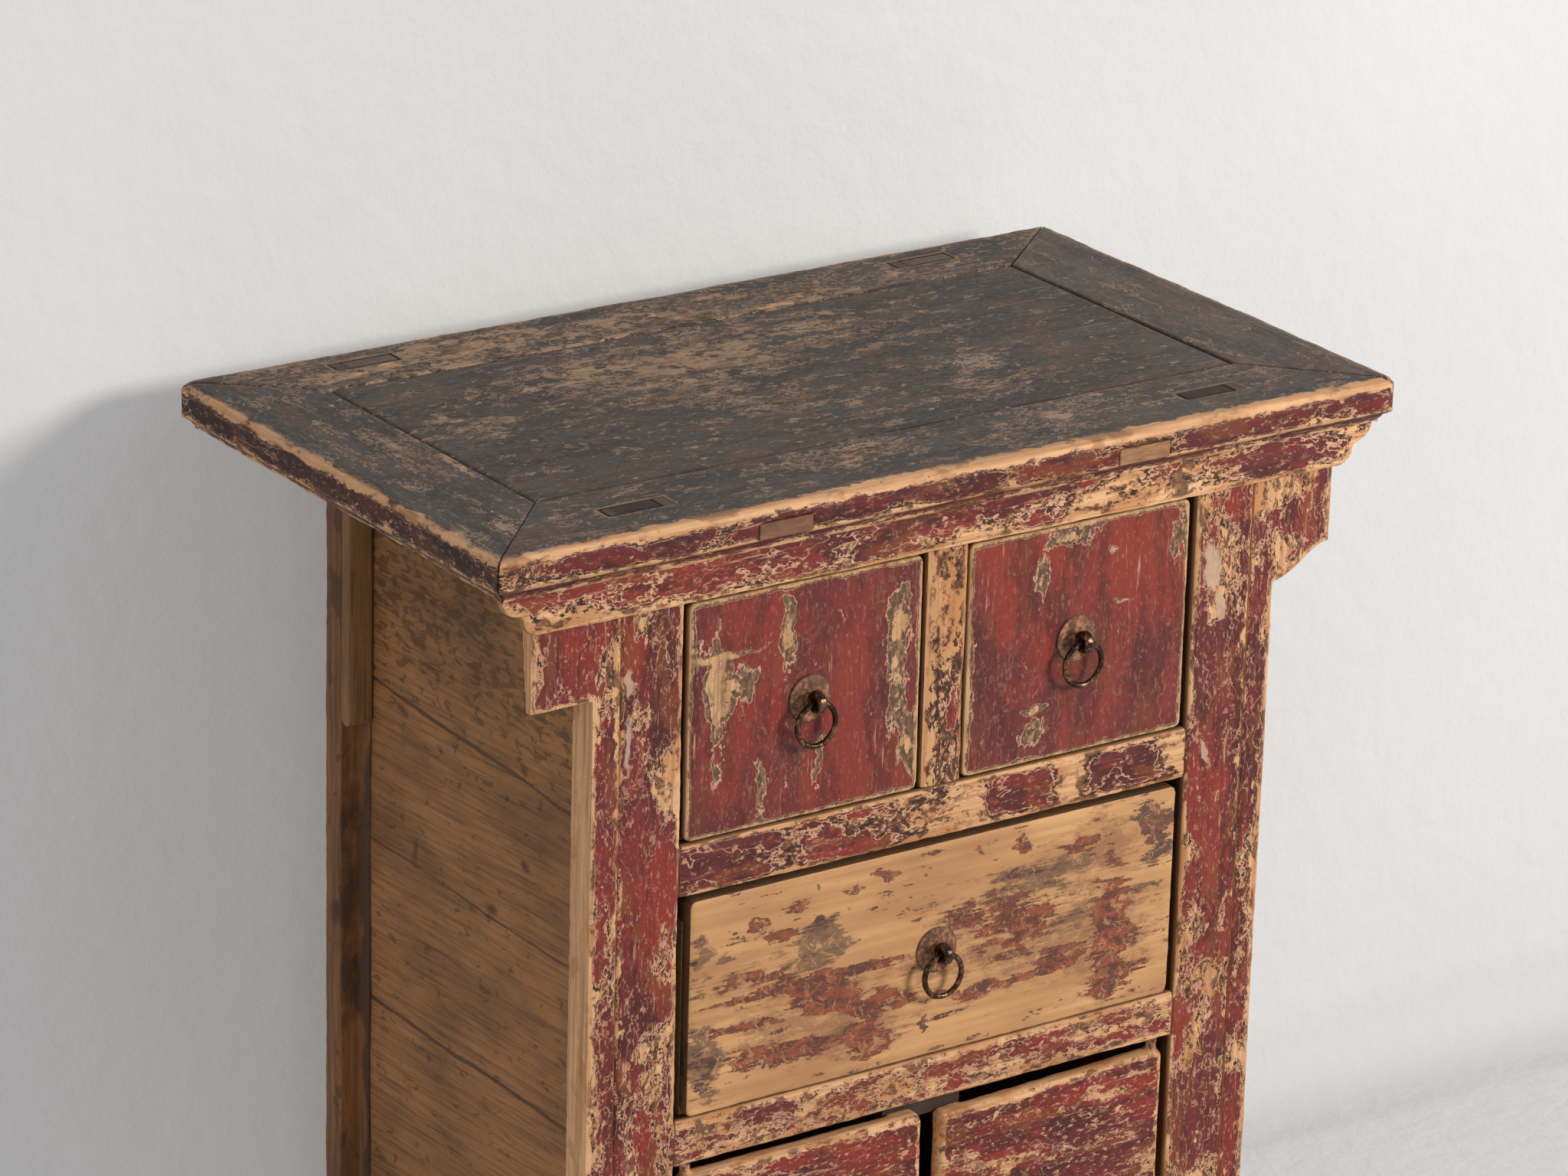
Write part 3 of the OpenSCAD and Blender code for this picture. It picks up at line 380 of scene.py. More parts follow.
def worn_lacquer(name, grain, bare, patches=(), face="front", colours=red_front, above=None, bare_above=0.0,
                 islands=30.0, rim=0.022, reach=0.09, speckle=0.34, arris=0.9, gloss=0.42, murk=0.75,
                 veins=0.6, amber=0.5, chips=0.2, flank=0.45, faces="front", residue=0.85, stub=None,
                 gap_shade=0.9, dusty=0.5, shine=0.28, drawn=0.42, pale=(), mortise=None, scored=None,
                 scorched=()):
    """Lacquer on a dark ground on softwood. One wear value decides which layer is left: up to a half the
    coat, then its pale rim, the ground, and bare timber."""
    finish, tree, place = new_finish(name)
    facing = lay(tree, "SeparateXYZ", {0: lay(tree, "TexCoord").node.outputs["Normal"]}).node.outputs
    outwards = lay(tree, "VectorMath", {0: place}, operation="ABSOLUTE")
    outwards = lay(tree, "SeparateXYZ", {0: outwards}).node.outputs
    loose = swayed(tree, place, place, (0.016, 0.016, 0.016), Scale=60.0, Detail=3.0)
    long = stretched(tree, loose, grain, drawn)

    # How far it is worn: broad islands, frayed along the grain, with chips, and through at the arrises.
    broad = lay(tree, "TexNoise", {"Vector": long, "Scale": islands, "Detail": 6.0, "Roughness": 0.62})
    fray = lay(tree, "TexNoise", {"Vector": stretched(tree, place, grain, 0.4), "Scale": 260.0,
                                  "Detail": 3.0})
    wear = lay(tree, "Math", {0: fray, 1: 0.16, 2: broad}, operation="MULTIPLY_ADD")
    flake = mottle(tree, stretched(tree, place, grain, 0.6), 0.6, 0.66, chips, Scale=120.0, Detail=4.0,
                   Roughness=0.65)
    wear = lay(tree, "Math", {0: flake, 1: wear}, operation="ADD")
    corner = lay(tree, "Attribute", attribute_name="arris").node.outputs["Fac"]
    corner = lay(tree, "Math", {0: corner, 1: 5.5}, operation="POWER")
    wear = lay(tree, "Math", {0: corner, 1: arris, 2: wear}, operation="MULTIPLY_ADD")
    wear = lay(tree, "Math", {0: wear, 1: bare - 0.08}, operation="ADD")
    upright = aside = None
    if above:
        # the top's own colours lie on what faces up, and down in the panel's groove
        upright = lay(tree, "MapRange", {"Value": facing["Z"], "From Min": 0.35, "From Max": 0.75})
        long_way = lay(tree, "MapRange", {"Value": outwards["X"], "From Min": 0.318, "From Max": 0.308})
        short_way = lay(tree, "MapRange", {"Value": outwards["Y"], "From Min": 0.16, "From Max": 0.15})
        within = lay(tree, "Math", {0: long_way, 1: short_way}, operation="MINIMUM")
        upright = lay(tree, "Math", {0: upright, 1: within}, operation="MAXIMUM")
        wear = lay(tree, "Math", {0: upright, 1: bare_above - bare, 2: wear}, operation="MULTIPLY_ADD")
    elif faces == "front":
        aside = lay(tree, "MapRange", {"Value": facing["Y"], "From Min": -0.6, "From Max": -0.3})
        wear = lay(tree, "Math", {0: aside, 1: 0.8, 2: wear}, operation="MULTIPLY_ADD")
    for row in patches:
        wear = patch(tree, loose, wear, face, *row)
    tone = {}
    for word in colours:
        tone[word] = tint(colours[word])
        if above:
            tone[word] = lay(tree, "Mix", {0: upright, 6: tint(colours[word]), 7: tint(above[word])})
    gone = lay(tree, "MapRange", {"Value": wear, "From Min": 0.496, "From Max": 0.504})
    past_rim = lay(tree, "MapRange", {"Value": wear, "From Min": 0.5 + rim, "From Max": 0.506 + rim})
    grit = lay(tree, "TexNoise", {"Vector": stretched(tree, place, grain, 0.55), "Scale": 280.0,
                                  "Detail": 5.0, "Roughness": 0.72})
    grit = lay(tree, "Math", {0: grit, 1: 0.5}, operation="SUBTRACT")
    deep = lay(tree, "Math", {0: grit, 1: speckle, 2: wear}, operation="MULTIPLY_ADD")
    bared = lay(tree, "MapRange", {"Value": deep, "From Min": 0.49 + reach, "From Max": 0.51 + reach})
    bared = lay(tree, "Math", {0: bared, 1: gone}, operation="MULTIPLY")

    # The coat: faded in drifts, with murky and amber places, dirt hairs, scratches, dust and pale outlines.
    drift = mottle(tree, long, 0.42, 0.58, Scale=22.0, Detail=5.0, Roughness=0.6)
    coat = lay(tree, "Mix", {0: drift, 6: tone["coat"], 7: tone["faded"]})
    spread = {}
    for word, over, along, size, detail, harsh, start, end, most, colour in (
            ("gloom", loose, 0.22, 52.0, 6.0, 0.68, 0.48, 0.58, murk, "murk"),
            ("resin", loose, 0.35, 41.0, 4.0, 0.5, 0.54, 0.6, amber, "amber"),
            ("dirt", place, 0.035, 420.0, 3.0, 0.65, 0.5, 0.74, 0.5, "ground"),
            ("scratch", place, 0.06, 240.0, 4.0, 0.7, 0.63, 0.68, 0.7, "rim"),
            ("dust", place, 0.45, 340.0, 4.0, 0.7, 0.56, 0.66, dusty, "rim")):
        mark = lay(tree, "TexNoise", {"Vector": stretched(tree, over, grain, along), "Scale": size,
                                      "Detail": detail, "Roughness": harsh,
                                      "Distortion": 0.5 if word == "resin" else 0.0})
        for row in scorched if word == "resin" else ():
            mark = patch(tree, loose, mark, face, *row)
        mark = lay(tree, "MapRange", {"Value": mark, "From Min": start, "From Max": end, "To Max": most})
        coat = lay(tree, "Mix", {0: mark, 6: coat, 7: tone[colour]})
        spread[word] = mark
    contour = hairlines(tree, long, 0.53, 0.012, 0.004, veins, Scale=islands * 1.35, Detail=3.0,
                        Roughness=0.55)
    fading = lay(tree, "MapRange", {"Value": drift, "From Min": 0.2, "From Max": 0.6, "To Min": 0.15})
    contour = lay(tree, "Math", {0: contour, 1: fading}, operation="MULTIPLY")
    coat = lay(tree, "Mix", {0: contour, 6: coat, 7: tone["rim"]})

    # The ground, and the timber with its rings, resin, and crumbs of ground and coat left in the grain.
    mealy = lay(tree, "MapRange", {"Value": grit, "From Min": -0.06, "From Max": 0.12})
    ground = lay(tree, "Mix", {0: mealy, 6: tone["ground"], 7: tone["dust"]})
    rings = mottle(tree, stretched(tree, place, grain, 0.03), 0.4, 0.72, Scale=300.0, Detail=4.0,
                   Roughness=0.6, Distortion=0.3)
    timber = lay(tree, "Mix", {0: rings, 6: tone["timber"], 7: tone["dark timber"]})
    if above:
        fresh = lay(tree, "MapRange", {"Value": wear, "From Min": 0.78, "From Max": 0.9})
        newly = lay(tree, "Mix", {0: rings, 6: tint(colours["timber"]), 7: tint(colours["dark timber"])})
        timber = lay(tree, "Mix", {0: fresh, 6: timber, 7: newly})
    timber = lay(tree, "Mix", {0: spread["resin"], 6: timber, 7: tone["glow"]})
    crumbs = lay(tree, "TexNoise", {"Vector": stretched(tree, loose, grain, 0.5), "Scale": 95.0,
                                    "Detail": 6.0, "Roughness": 0.7}).node.outputs["Color"]
    crumbs = lay(tree, "SeparateColor", {0: crumbs}).node.outputs
    scrubbed = lay(tree, "MapRange", {"Value": wear, "From Min": 0.72, "From Max": 1.0, "To Min": residue,
                                      "To Max": 0.1 * residue})
    for crumb, sparse, layer in ((crumbs["Red"], 0.51, ground), (crumbs["Green"], 0.56, coat)):
        held = lay(tree, "MapRange", {"Value": crumb, "From Min": sparse, "From Max": sparse + 0.05})
        held = lay(tree, "Math", {0: held, 1: scrubbed}, operation="MULTIPLY")
        timber = lay(tree, "Mix", {0: held, 6: timber, 7: layer})
    if aside:
        shaded = lay(tree, "Math", {0: aside, 1: flank}, operation="MULTIPLY")
        timber = lay(tree, "Mix", {0: shaded, 6: timber, 7: tint("#7a5230")})

    # The layers over each other, and what lies on a few pieces only.
    look = coat
    for share, layer in ((gone, tone["rim"]), (past_rim, ground), (bared, timber)):
        look = lay(tree, "Mix", {0: share, 6: look, 7: layer})
    if pale:
        chalky = lay(tree, "Math", {0: broad, 1: 1.6, 2: -1.05}, operation="MULTIPLY_ADD")
        for row in pale:
            chalky = patch(tree, loose, chalky, face, *row)
        chalky = lay(tree, "MapRange", {"Value": chalky, "From Min": 0.0, "From Max": 0.14, "To Max": 0.8})
        look = lay(tree, "Mix", {0: chalky, 6: look, 7: tint("#c9a990")})
    if stub:
        look = tenon_end(tree, place, look, rings, stub)
    if mortise:
        off = past_tenon(tree, place, mortise)
        lip = lay(tree, "Math", {0: grit, 1: 0.008, 2: off}, operation="MULTIPLY_ADD")
        lip = lay(tree, "MapRange", {"Value": lip, "From Min": 0.0036, "From Max": 0.0026, "To Max": 0.75})
        lip = lay(tree, "Math", {0: lip, 1: upright}, operation="MULTIPLY")
        look = lay(tree, "Mix", {0: lip, 6: look, 7: tint("#96795f")})
        slit = lay(tree, "MapRange", {"Value": off, "From Min": 0.0014, "From Max": 0.0009, "To Max": 0.9})
        look = lay(tree, "Mix", {0: slit, 6: look, 7: tint("#1b1411")})
    if above or faces == "all":
        pores = lay(tree, "TexVoronoi", {"Vector": place, "Scale": 85.0})
        pores = lay(tree, "MapRange", {"Value": pores, "From Min": 0.1, "From Max": 0.05, "To Max": 0.85})
        thin = lay(tree, "MapRange", {"Value": broad, "From Min": 0.5, "From Max": 0.54})
        pores = lay(tree, "Math", {0: pores, 1: thin}, operation="MULTIPLY")
        look = lay(tree, "Mix", {0: pores, 6: look, 7: tint("#17100d")})
    if scored:
        score = hairlines(tree, place, 0.5, 0.022, 0.01, Scale=150.0, Detail=4.0, Roughness=0.7)
        field = patch(tree, loose, 0.0, face, *scored)
        field = lay(tree, "MapRange", {"Value": field, "From Min": 0.1, "From Max": 0.5})
        score = lay(tree, "Math", {0: score, 1: field}, operation="MULTIPLY")
        look = lay(tree, "Mix", {0: score, 6: look, 7: tint("#c3b3a4")})
    if aside:
        # painted shade: behind the front's face and between the posts, down to the apron, the flanks in the
        # openings are painted near-black
        painted_gap_shade = aside
        for way, start, end, most in (("Y", 0.199, 0.194, gap_shade), ("X", 0.274, 0.268, 1.0),
                                      ("Z", 0.06, 0.09, 1.0)):
            within = lay(tree, "MapRange", {"Value": outwards[way], "From Min": start, "From Max": end,
                                            "To Max": most})
            painted_gap_shade = lay(tree, "Math", {0: painted_gap_shade, 1: within}, operation="MULTIPLY")
        look = lay(tree, "Mix", {0: painted_gap_shade, 6: look, 7: tint("#2c1c13")})

    rough = lay(tree, "MapRange", {"Value": bared, "To Min": gloss, "To Max": 0.66})
    rough = lay(tree, "Math", {0: grit, 1: 0.35, 2: rough}, operation="MULTIPLY_ADD")
    height = grit
    for layer, depth in ((gone, -1.0), (bared, -0.6), (rings, -0.4)):
        height = lay(tree, "Math", {0: layer, 1: depth, 2: height}, operation="MULTIPLY_ADD")
    closed(tree, look, rough, height, strength=0.6, more={"Specular IOR Level": shine})
    return finish


for side, scorched, rubs, blooms in (
        ("left", (-248, 755, 26, 60, 0, 0.1),
         ((-276, 640, 3.5, 230, 0, 0.3), (-240, 662, 24, 46, 0, 0.2), (-250, 745, 40, 40, 0, -0.06),
          (-250, 600, 60, 60, 0, -0.14), (-234, 480, 14, 120, 0, 0.16), (-250, 330, 60, 140, 0, 0.12),
          (-258, 520, 14, 90, 0, -0.14)),
         ((-269, 742, 5, 22, 0, 0.7), (-270, 690, 5, 40, 0, 0.65), (-266, 655, 6, 10, 0, 0.5))),
        ("right", (248, 782, 30, 26, 0, 0.14),
         ((276, 640, 4, 230, 0, 0.27), (244, 770, 34, 24, 0, 0.16), (238, 738, 14, 24, 0, 0.2),
          (243, 697, 8, 16, 0, 0.24), (252, 715, 26, 40, 0, 0.1), (255, 590, 40, 110, 0, -0.2),
          (236, 420, 20, 110, 0, 0.08)),
         ((239, 735, 13, 26, 8, 0.85), (250, 697, 7, 16, 0, 0.75), (242, 586, 4, 22, 25, 0.6)))):
    post = aged("post_front_" + side, cell=0.0017)
    post.data.materials.append(worn_lacquer("lacquer_on_post_" + side, "Z", -0.062, rubs, islands=46.0,
                                            reach=0.05, dusty=0.65, stub=front_tenon, pale=blooms,
                                            scorched=(scorched,)))


# The rails and the muntin: rails tenoned between the posts, with the short muntin between the two small
# drawers. They have the posts' lacquer, worn to wood along every edge that a hand or a drawer rubs.
for node, cell, bare, rubs, own in (
        ("rail_top", 0.0018, 0.04, (), {}),
        ("rail_1", 0.0018, -0.02,
         ((-190, 590, 60, 30, 0, -0.3), (-90, 592, 70, 24, 0, -0.08), (-10, 588, 60, 30, 0, 0.26),
          (30, 586, 18, 30, 0, 0.34), (75, 590, 50, 18, 0, -0.26), (118, 588, 22, 30, 0, 0.34),
          (165, 590, 44, 18, 0, -0.3), (212, 590, 24, 30, 0, 0.3)), {}),
        ("rail_2", 0.0013, 0.01, ((-190, 380, 60, 30, 0, 0.08), (20, 378, 200, 14, 0, -0.05)),
         {"islands": 60.0, "drawn": 0.28, "reach": 0.03, "dusty": 1.0}),
        ("rail_bottom", 0.0013, 0.0, (), {})):
    rail = aged(node, cell=cell)
    rail.data.materials.append(worn_lacquer("lacquer_on_" + node, "X", bare, rubs, veins=0.9,
                                            **{"islands": 34.0, **own}))
muntin = aged("muntin")
muntin.data.materials.append(worn_lacquer(
    "lacquer_on_muntin", "Z", 0.08, ((0, 740, 30, 90, 0, 0.1),), residue=1.0,
    colours=dict(red_front, timber="#dba774", murk="#2f1a14")))


# The wings: an upright strip beside each front post with a small bracket under the overhang, sawn
# from thin board and nailed on, with the same lacquer as the posts.
for side, rubs in (
        ("left", ((-278, 640, 3, 230, 0, 0.26), (-345, 770, 12, 40, 0, 0.1), (-320, 770, 40, 40, 0, -0.05),
                  (-290, 640, 20, 120, 0, -0.08), (-290, 420, 20, 120, 0, 0.02))),
        ("right", ((278, 640, 3.5, 230, 0, 0.24), (295, 785, 50, 20, 0, 0.2), (300, 730, 30, 40, 0, 0.08),
                   (280, 650, 12, 90, 0, -0.14), (298, 640, 8, 60, 0, 0.06), (298, 470, 8, 80, 0, 0.08),
                   (280, 560, 12, 60, 0, -0.2)))):
    wing = aged("wing_" + side, cell=0.0015)
    wing.data.materials.append(worn_lacquer("lacquer_on_wing_" + side, "Z", -0.04, rubs, islands=42.0,
                                            reach=0.05, dusty=0.65, gap_shade=0.0, flank=0.0,
                                            scorched=((305, 785, 40, 26, 0, 0.12),)))


# The sides: wide softwood planks laid along the grain from post to post, never painted, browned by age
# and smoke, with dark stains under the overhang. The rear posts and battens are the same bare wood.
def bare_timber(name, grain, light, dark, stains=(), stain="#3d2a1c", streaks=0.5, saw=0.0, cell=230.0,
                torn=0.0, stub=None):
    """Unpainted softwood: growth rings along the grain, a broad cloudiness, and stains."""
    finish, tree, place = new_finish(name)
    loose = swayed(tree, place, place, (0.012, 0.012, 0.012), Scale=9.0, Detail=3.0)
    rings = mottle(tree, stretched(tree, loose, grain, 0.02), 0.3, 0.75, Scale=cell, Detail=6.0,
                   Roughness=0.62)
    hairs = lay(tree, "TexNoise", {"Vector": stretched(tree, place, grain, 0.03), "Scale": 600.0,
                                   "Detail": 3.0})
    cloud = mottle(tree, stretched(tree, place, grain, 0.5), 0.42, 0.68, streaks, Scale=18.0, Detail=6.0,
                   Roughness=0.6)
    look = lay(tree, "Mix", {0: rings, 6: tint(light), 7: tint(dark)})
    hair = lay(tree, "MapRange", {"Value": hairs, "From Min": 0.52, "From Max": 0.72, "To Max": 0.5})
    look = lay(tree, "Mix", {0: hair, 6: look, 7: tint(stain)})
    marks = lay(tree, "TexNoise", {"Vector": stretched(tree, loose, grain, 0.5), "Scale": 46.0, "Detail": 6.0,
                                   "Roughness": 0.66})
    soot = lay(tree, "Math", {0: marks, 1: 0.62}, operation="SUBTRACT")
    for row in stains:
        soot = patch(tree, loose, soot, "side", *row)
    soot = lay(tree, "MapRange", {"Value": soot, "From Min": 0.0, "From Max": 0.2, "To Max": 0.8})
    soot = lay(tree, "Math", {0: soot, 1: cloud}, operation="MAXIMUM")
    look = lay(tree, "Mix", {0: soot, 6: look, 7: tint(stain)})
    height = lay(tree, "Math", {0: hairs, 1: 0.5, 2: rings}, operation="MULTIPLY_ADD")
    if saw:
        slant = lay(tree, "Mapping", {"Vector": place, "Rotation": (math.radians(4), 0, 0)})
        kerf = mottle(tree, stretched(tree, slant, grain, 0.02), 0.5, 0.66, Scale=saw, Detail=2.0)
        height = lay(tree, "Math", {0: kerf, 1: -0.5, 2: height}, operation="MULTIPLY_ADD")
        kerf = lay(tree, "MapRange", {"Value": kerf, "To Max": 0.35})
        look = lay(tree, "Mix", {0: kerf, 6: look, 7: tint(stain)})
    if torn:
        high = lay(tree, "SeparateXYZ", {0: place}).node.outputs["Z"]
        high = lay(tree, "MapRange", {"Value": high, "From Min": 0.58, "From Max": 0.68, "To Min": 0.02,
                                      "To Max": 0.13})
        nick = lay(tree, "TexNoise", {"Vector": stretched(tree, loose, grain, 0.45), "Scale": torn,
                                      "Detail": 5.0, "Roughness": 0.6, "Distortion": 0.6})
        nick = lay(tree, "Math", {0: nick, 1: high}, operation="ADD")
        nick = lay(tree, "MapRange", {"Value": nick, "From Min": 0.64, "From Max": 0.67})
        height = lay(tree, "Math", {0: nick, 1: -2.0, 2: height}, operation="MULTIPLY_ADD")
        nick = lay(tree, "MapRange", {"Value": nick, "To Max": 0.55})
        look = lay(tree, "Mix", {0: nick, 6: look, 7: tint("#43290f")})
    if stub:
        look = tenon_end(tree, place, look, rings, stub)
    closed(tree, look, 0.68, height)
    return finish


for side in ("left", "right"):
    planks = aged("side_planks_" + side, cell=0.003, nibble=0.001)
    planks.data.materials.append(bare_timber(
        "old_bare_plank_" + side, "Y", "#b8804c", "#9c6a3d",
        ((0, 745, 220, 60, 0, 0.12), (60, 660, 70, 34, 8, 0.1), (0, 497, 16, 12, 0, 0.4),
         (-45, 545, 12, 9, 0, 0.4), (105, 500, 10, 24, 0, 0.3), (10, 430, 26, 12, 0, 0.3),
         (125, 600, 12, 60, 0, 0.2), (110, 470, 8, 90, 0, 0.14),
         (9, 612, 3000, 2.4, 2.43, 0.9), (9, 490, 3000, 1.6, 0.6, 0.45), (9, 360, 3000, 2.4, 0, 0.9)),
        saw=420.0, torn=150.0, stain="#452c17"))
    post = aged("post_rear_" + side, cell=0.0024)
    post.data.materials.append(bare_timber(
        "old_bare_post_" + side, "Z", "#a06b3b", "#6b4222",
        ((173, 500, 10, 110, 0, 0.9), (173, 360, 10, 130, 0, 0.9), (173, 230, 10, 110, 0, 0.9),
         (188, 430, 14, 20, 0, 0.3)), torn=60.0, stub=rear_tenon))
battens = aged("rear_battens")
battens.data.materials.append(bare_timber("old_bare_batten", "Z", "#a87c4c", "#7d5630"))


# The back, the rails behind the planks, and what the drawers and doors run on: rough unpainted boards that
# only dust has darkened; the door stop is painted near-black as painted shade. They keep the sawn shapes,
# with their sharp corners just taken off.
def left_sawn(node, finish):
    """A piece that keeps its sawn shape, its corners eased by live modifiers."""
    piece = frame["nodes"][node]
    joined = piece.modifiers.new("joined", "WELD")
    joined.merge_threshold = 0.00002
    eased = piece.modifiers.new("eased", "BEVEL")
    eased.width = 0.0007
    eased.segments = 2
    eased.limit_method = "ANGLE"
    eased.angle_limit = math.radians(40)
    piece.data.materials.clear()
    piece.data.materials.append(finish)


rough_x = bare_timber("rough_inner_board", "X", "#c09769", "#946a40", streaks=0.3)
rough_y = bare_timber("rough_inner_runner", "Y", "#bb9164", "#8e653d", streaks=0.3)
rough_z = bare_timber("rough_back_board", "Z", "#b08557", "#866039", streaks=0.45, stain="#4a3626")
for node in ("side_rail_top_left", "side_rail_top_right", "side_rail_bottom_left", "side_rail_bottom_right",
             "runners_upper", "runner_middle", "runners_lower"):
    left_sawn(node, rough_y)
for node in ("back_rail_top", "back_rail_middle", "back_rail_bottom", "cupboard_floor"):
    left_sawn(node, rough_x)
# The door stop, seen through the gap above the doors, is painted near-black as painted shade.
left_sawn("door_stop", bare_timber("door_stop_in_painted_shade", "Z", "#4a3222", "#2f2017"))
left_sawn("back_boards", rough_z)


# The apron: a thin softwood board with a cut-out lower edge, let into the posts under the bottom rail. It
# was lacquered with the front and is worn like the rails.
apron = aged("apron")
apron.data.materials.append(worn_lacquer("lacquer_on_apron", "X", 0.02))


# The top: a floating panel in a mitred frame, on two battens, the posts' wedged tenons showing through.
# Its upper face has a near-black lacquer, dulled and worn brown; its edges are red with bare arrises.
dark_top = {"coat": "#393029", "faded": "#4f443b", "murk": "#28201c", "amber": "#644534", "rim": "#9c8069",
            "ground": "#33261f", "dust": "#7c6450", "timber": "#b8977a", "dark timber": "#866b57",
            "glow": "#644534"}
red_band = {"coat": "#702826", "faded": "#552226", "murk": "#351c1c", "amber": "#8a4c2a", "rim": "#c4936f",
            "ground": "#3b2420", "dust": "#6b4937", "timber": "#ecb888", "dark timber": "#c48c60",
            "glow": "#a9683a"}
panel = aged("top_panel", cell=0.0017, keep=0.25, free=0.0022)
panel.data.materials.append(worn_lacquer(
    "dark_lacquer_on_panel", "X", -0.13,
    ((-10, 90, 250, 80, 0, 0.26), (-90, 70, 150, 70, 0, 0.16), (-80, 60, 26, 12, -20, 0.4),
     (-15, 57, 34, 14, 0, 0.3), (-95, 8, 90, 30, 0, 0.24), (-265, 25, 60, 40, 0, 0.22),
     (-250, 42, 44, 6, -22, 0.5), (-30, -50, 80, 60, 0, 0.16), (140, -32, 50, 40, 20, 0.2),
     (120, -80, 90, 40, 0, 0.16), (0, 0, 300, 150, 0, 0.05)), face="top",
    colours=dark_top, islands=80.0, rim=0.02, reach=0.05, speckle=0.6, arris=0.1, gloss=0.52, faces="all",
    veins=0.0, murk=0.7, chips=0.3, shine=0.24, scored=(142, -30, 34, 26, 0, 1.0)))
# The left member's band takes a darker copy of the red band: painted shade on the side turned from the key
# lamp.
shaded_red_band = dict(red_band, coat="#552824", faded="#3c2622", murk="#2b1c19", amber="#6e4229")
# The right member's upper face has lighter colours, a painted sheen of the key lamp on the right.
right_above_painted_sheen = dict(dark_top, coat="#4d423a", faded="#605247", murk="#362b26")
worn_tips = ((-0.392, 0.222, 0.014), (0.392, -0.222, 0.013), (-0.392, -0.222, 0.004), (0.392, 0.222, 0.004))
for node, grain, bare_above, band, above, mortise, rubs in (
        ("top_front_member", "X", -0.08, red_band, dark_top, front_tenon,
         ((110, -220, 640, 11, 0, 1.5), (-60, -155, 90, 34, 0, 0.26), (120, -165, 110, 44, 0, 0.22),
          (-300, -180, 70, 50, 0, 0.12))),
        ("top_rear_member", "X", -0.03, red_band, dark_top, rear_tenon,
         ((-245, 180, 170, 50, 0, 0.26), (0, 172, 300, 40, 0, 0.2), (90, 154, 40, 5, 0, 0.5),
          (-20, 152, 300, 5, 0, 0.2))),
        ("top_left_member", "Y", -0.08, shaded_red_band, dark_top, None,
         ((-335, 10, 40, 80, 0, 0.18), (-310, -20, 7, 60, 0, 0.4), (-391, 0, 5, 260, 0, 0.5),
          (-340, -170, 50, 50, 0, 0.16))),
        ("top_right_member", "Y", -0.12, red_band, right_above_painted_sheen, None, ((350, 60, 40, 60, 0, 0.08),))):
    member = aged(node, cell=0.0016, free=0.0022, tips=worn_tips)
    member.data.materials.append(worn_lacquer(
        "lacquer_on_" + node, grain, -0.085, rubs, face="top", colours=band, above=above, mortise=mortise,
        bare_above=bare_above, islands=56.0, gloss=0.5, veins=0.1, shine=0.24))
frieze = aged("frieze", cell=0.0016)
frieze.data.materials.append(worn_lacquer(
    "lacquer_on_frieze", "X", -0.02,
    ((-310, 808, 50, 20, 0, 0.1), (-200, 808, 100, 16, 0, -0.1), (160, 806, 90, 24, 0, 0.18),
     (280, 808, 24, 12, 0, -0.3), (30, 806, 90, 20, 0, 0.12), (-60, 808, 60, 18, 0, -0.08)), islands=36.0,
    veins=0.9, reach=0.06, colours=dict(red_front, rim="#e0ad89", timber="#f4c08d"),
    scorched=((238, 806, 50, 18, 0, 0.16), (-60, 806, 40, 12, 0, 0.06))))
left_sawn("tenon_wedges", bare_timber("dark_end_grain", "Z", "#6e543c", "#3f2f26", stain="#2b211c"))
left_sawn("top_battens", bare_timber("batten_end_grain", "flat Y", "#c4925f", "#85583a", stain="#5c3626",
                                     streaks=0.85, cell=420.0))


# The drawers: lipped softwood boxes. The two small fronts kept their red lacquer; the wide one was
# stripped to the wood, with dregs of orange-red paint in the grain and dark dirt at its corners.
flaked_front = {**red_front, "ground": "#59412f", "dust": "#8f6f55", "timber": "#dcae7e",
                "dark timber": "#a17a55"}
for side, coat, rubs in (
        ("left", "#8a322a",
         ((-185, 722, 30, 34, 20, 0.46), (-190, 746, 44, 4, 0, 0.7), (-197, 710, 15, 100, 0, 0.44),
          (-136, 750, 11, 52, 0, 0.46), (-42, 720, 17, 110, 0, 0.42), (-28, 645, 14, 30, 0, 0.34),
          (-158, 642, 9, 48, 0, 0.36), (-108, 650, 8, 50, 0, 0.26))),
        ("right", "#8f352b",
         ((108, 779, 30, 10, 0, 0.55), (83, 753, 11, 32, 0, 0.42), (82, 652, 17, 5, 0, 0.6),
          (82, 634, 19, 20, 0, 0.46), (147, 765, 6, 6, 0, 0.65), (160, 720, 14, 3, -5, 0.6),
          (206, 760, 10, 34, 0, 0.36), (23, 700, 8, 120, 0, 0.2)))):
    front = aged("drawer_" + side + "_front", cell=0.0015, soften=5, wander=0.0003, nibble=0.0005,
                 corner=0.008)
    front.data.materials.append(worn_lacquer("lacquer_on_drawer_" + side, "Z", -0.2, rubs, islands=40.0,
                                             gloss=0.36, veins=0.15, murk=0.5, amber=0.25, chips=0.16,
                                             reach=0.13, dusty=0.3, arris=1.2,
                                             colours=dict(flaked_front, coat=coat)))


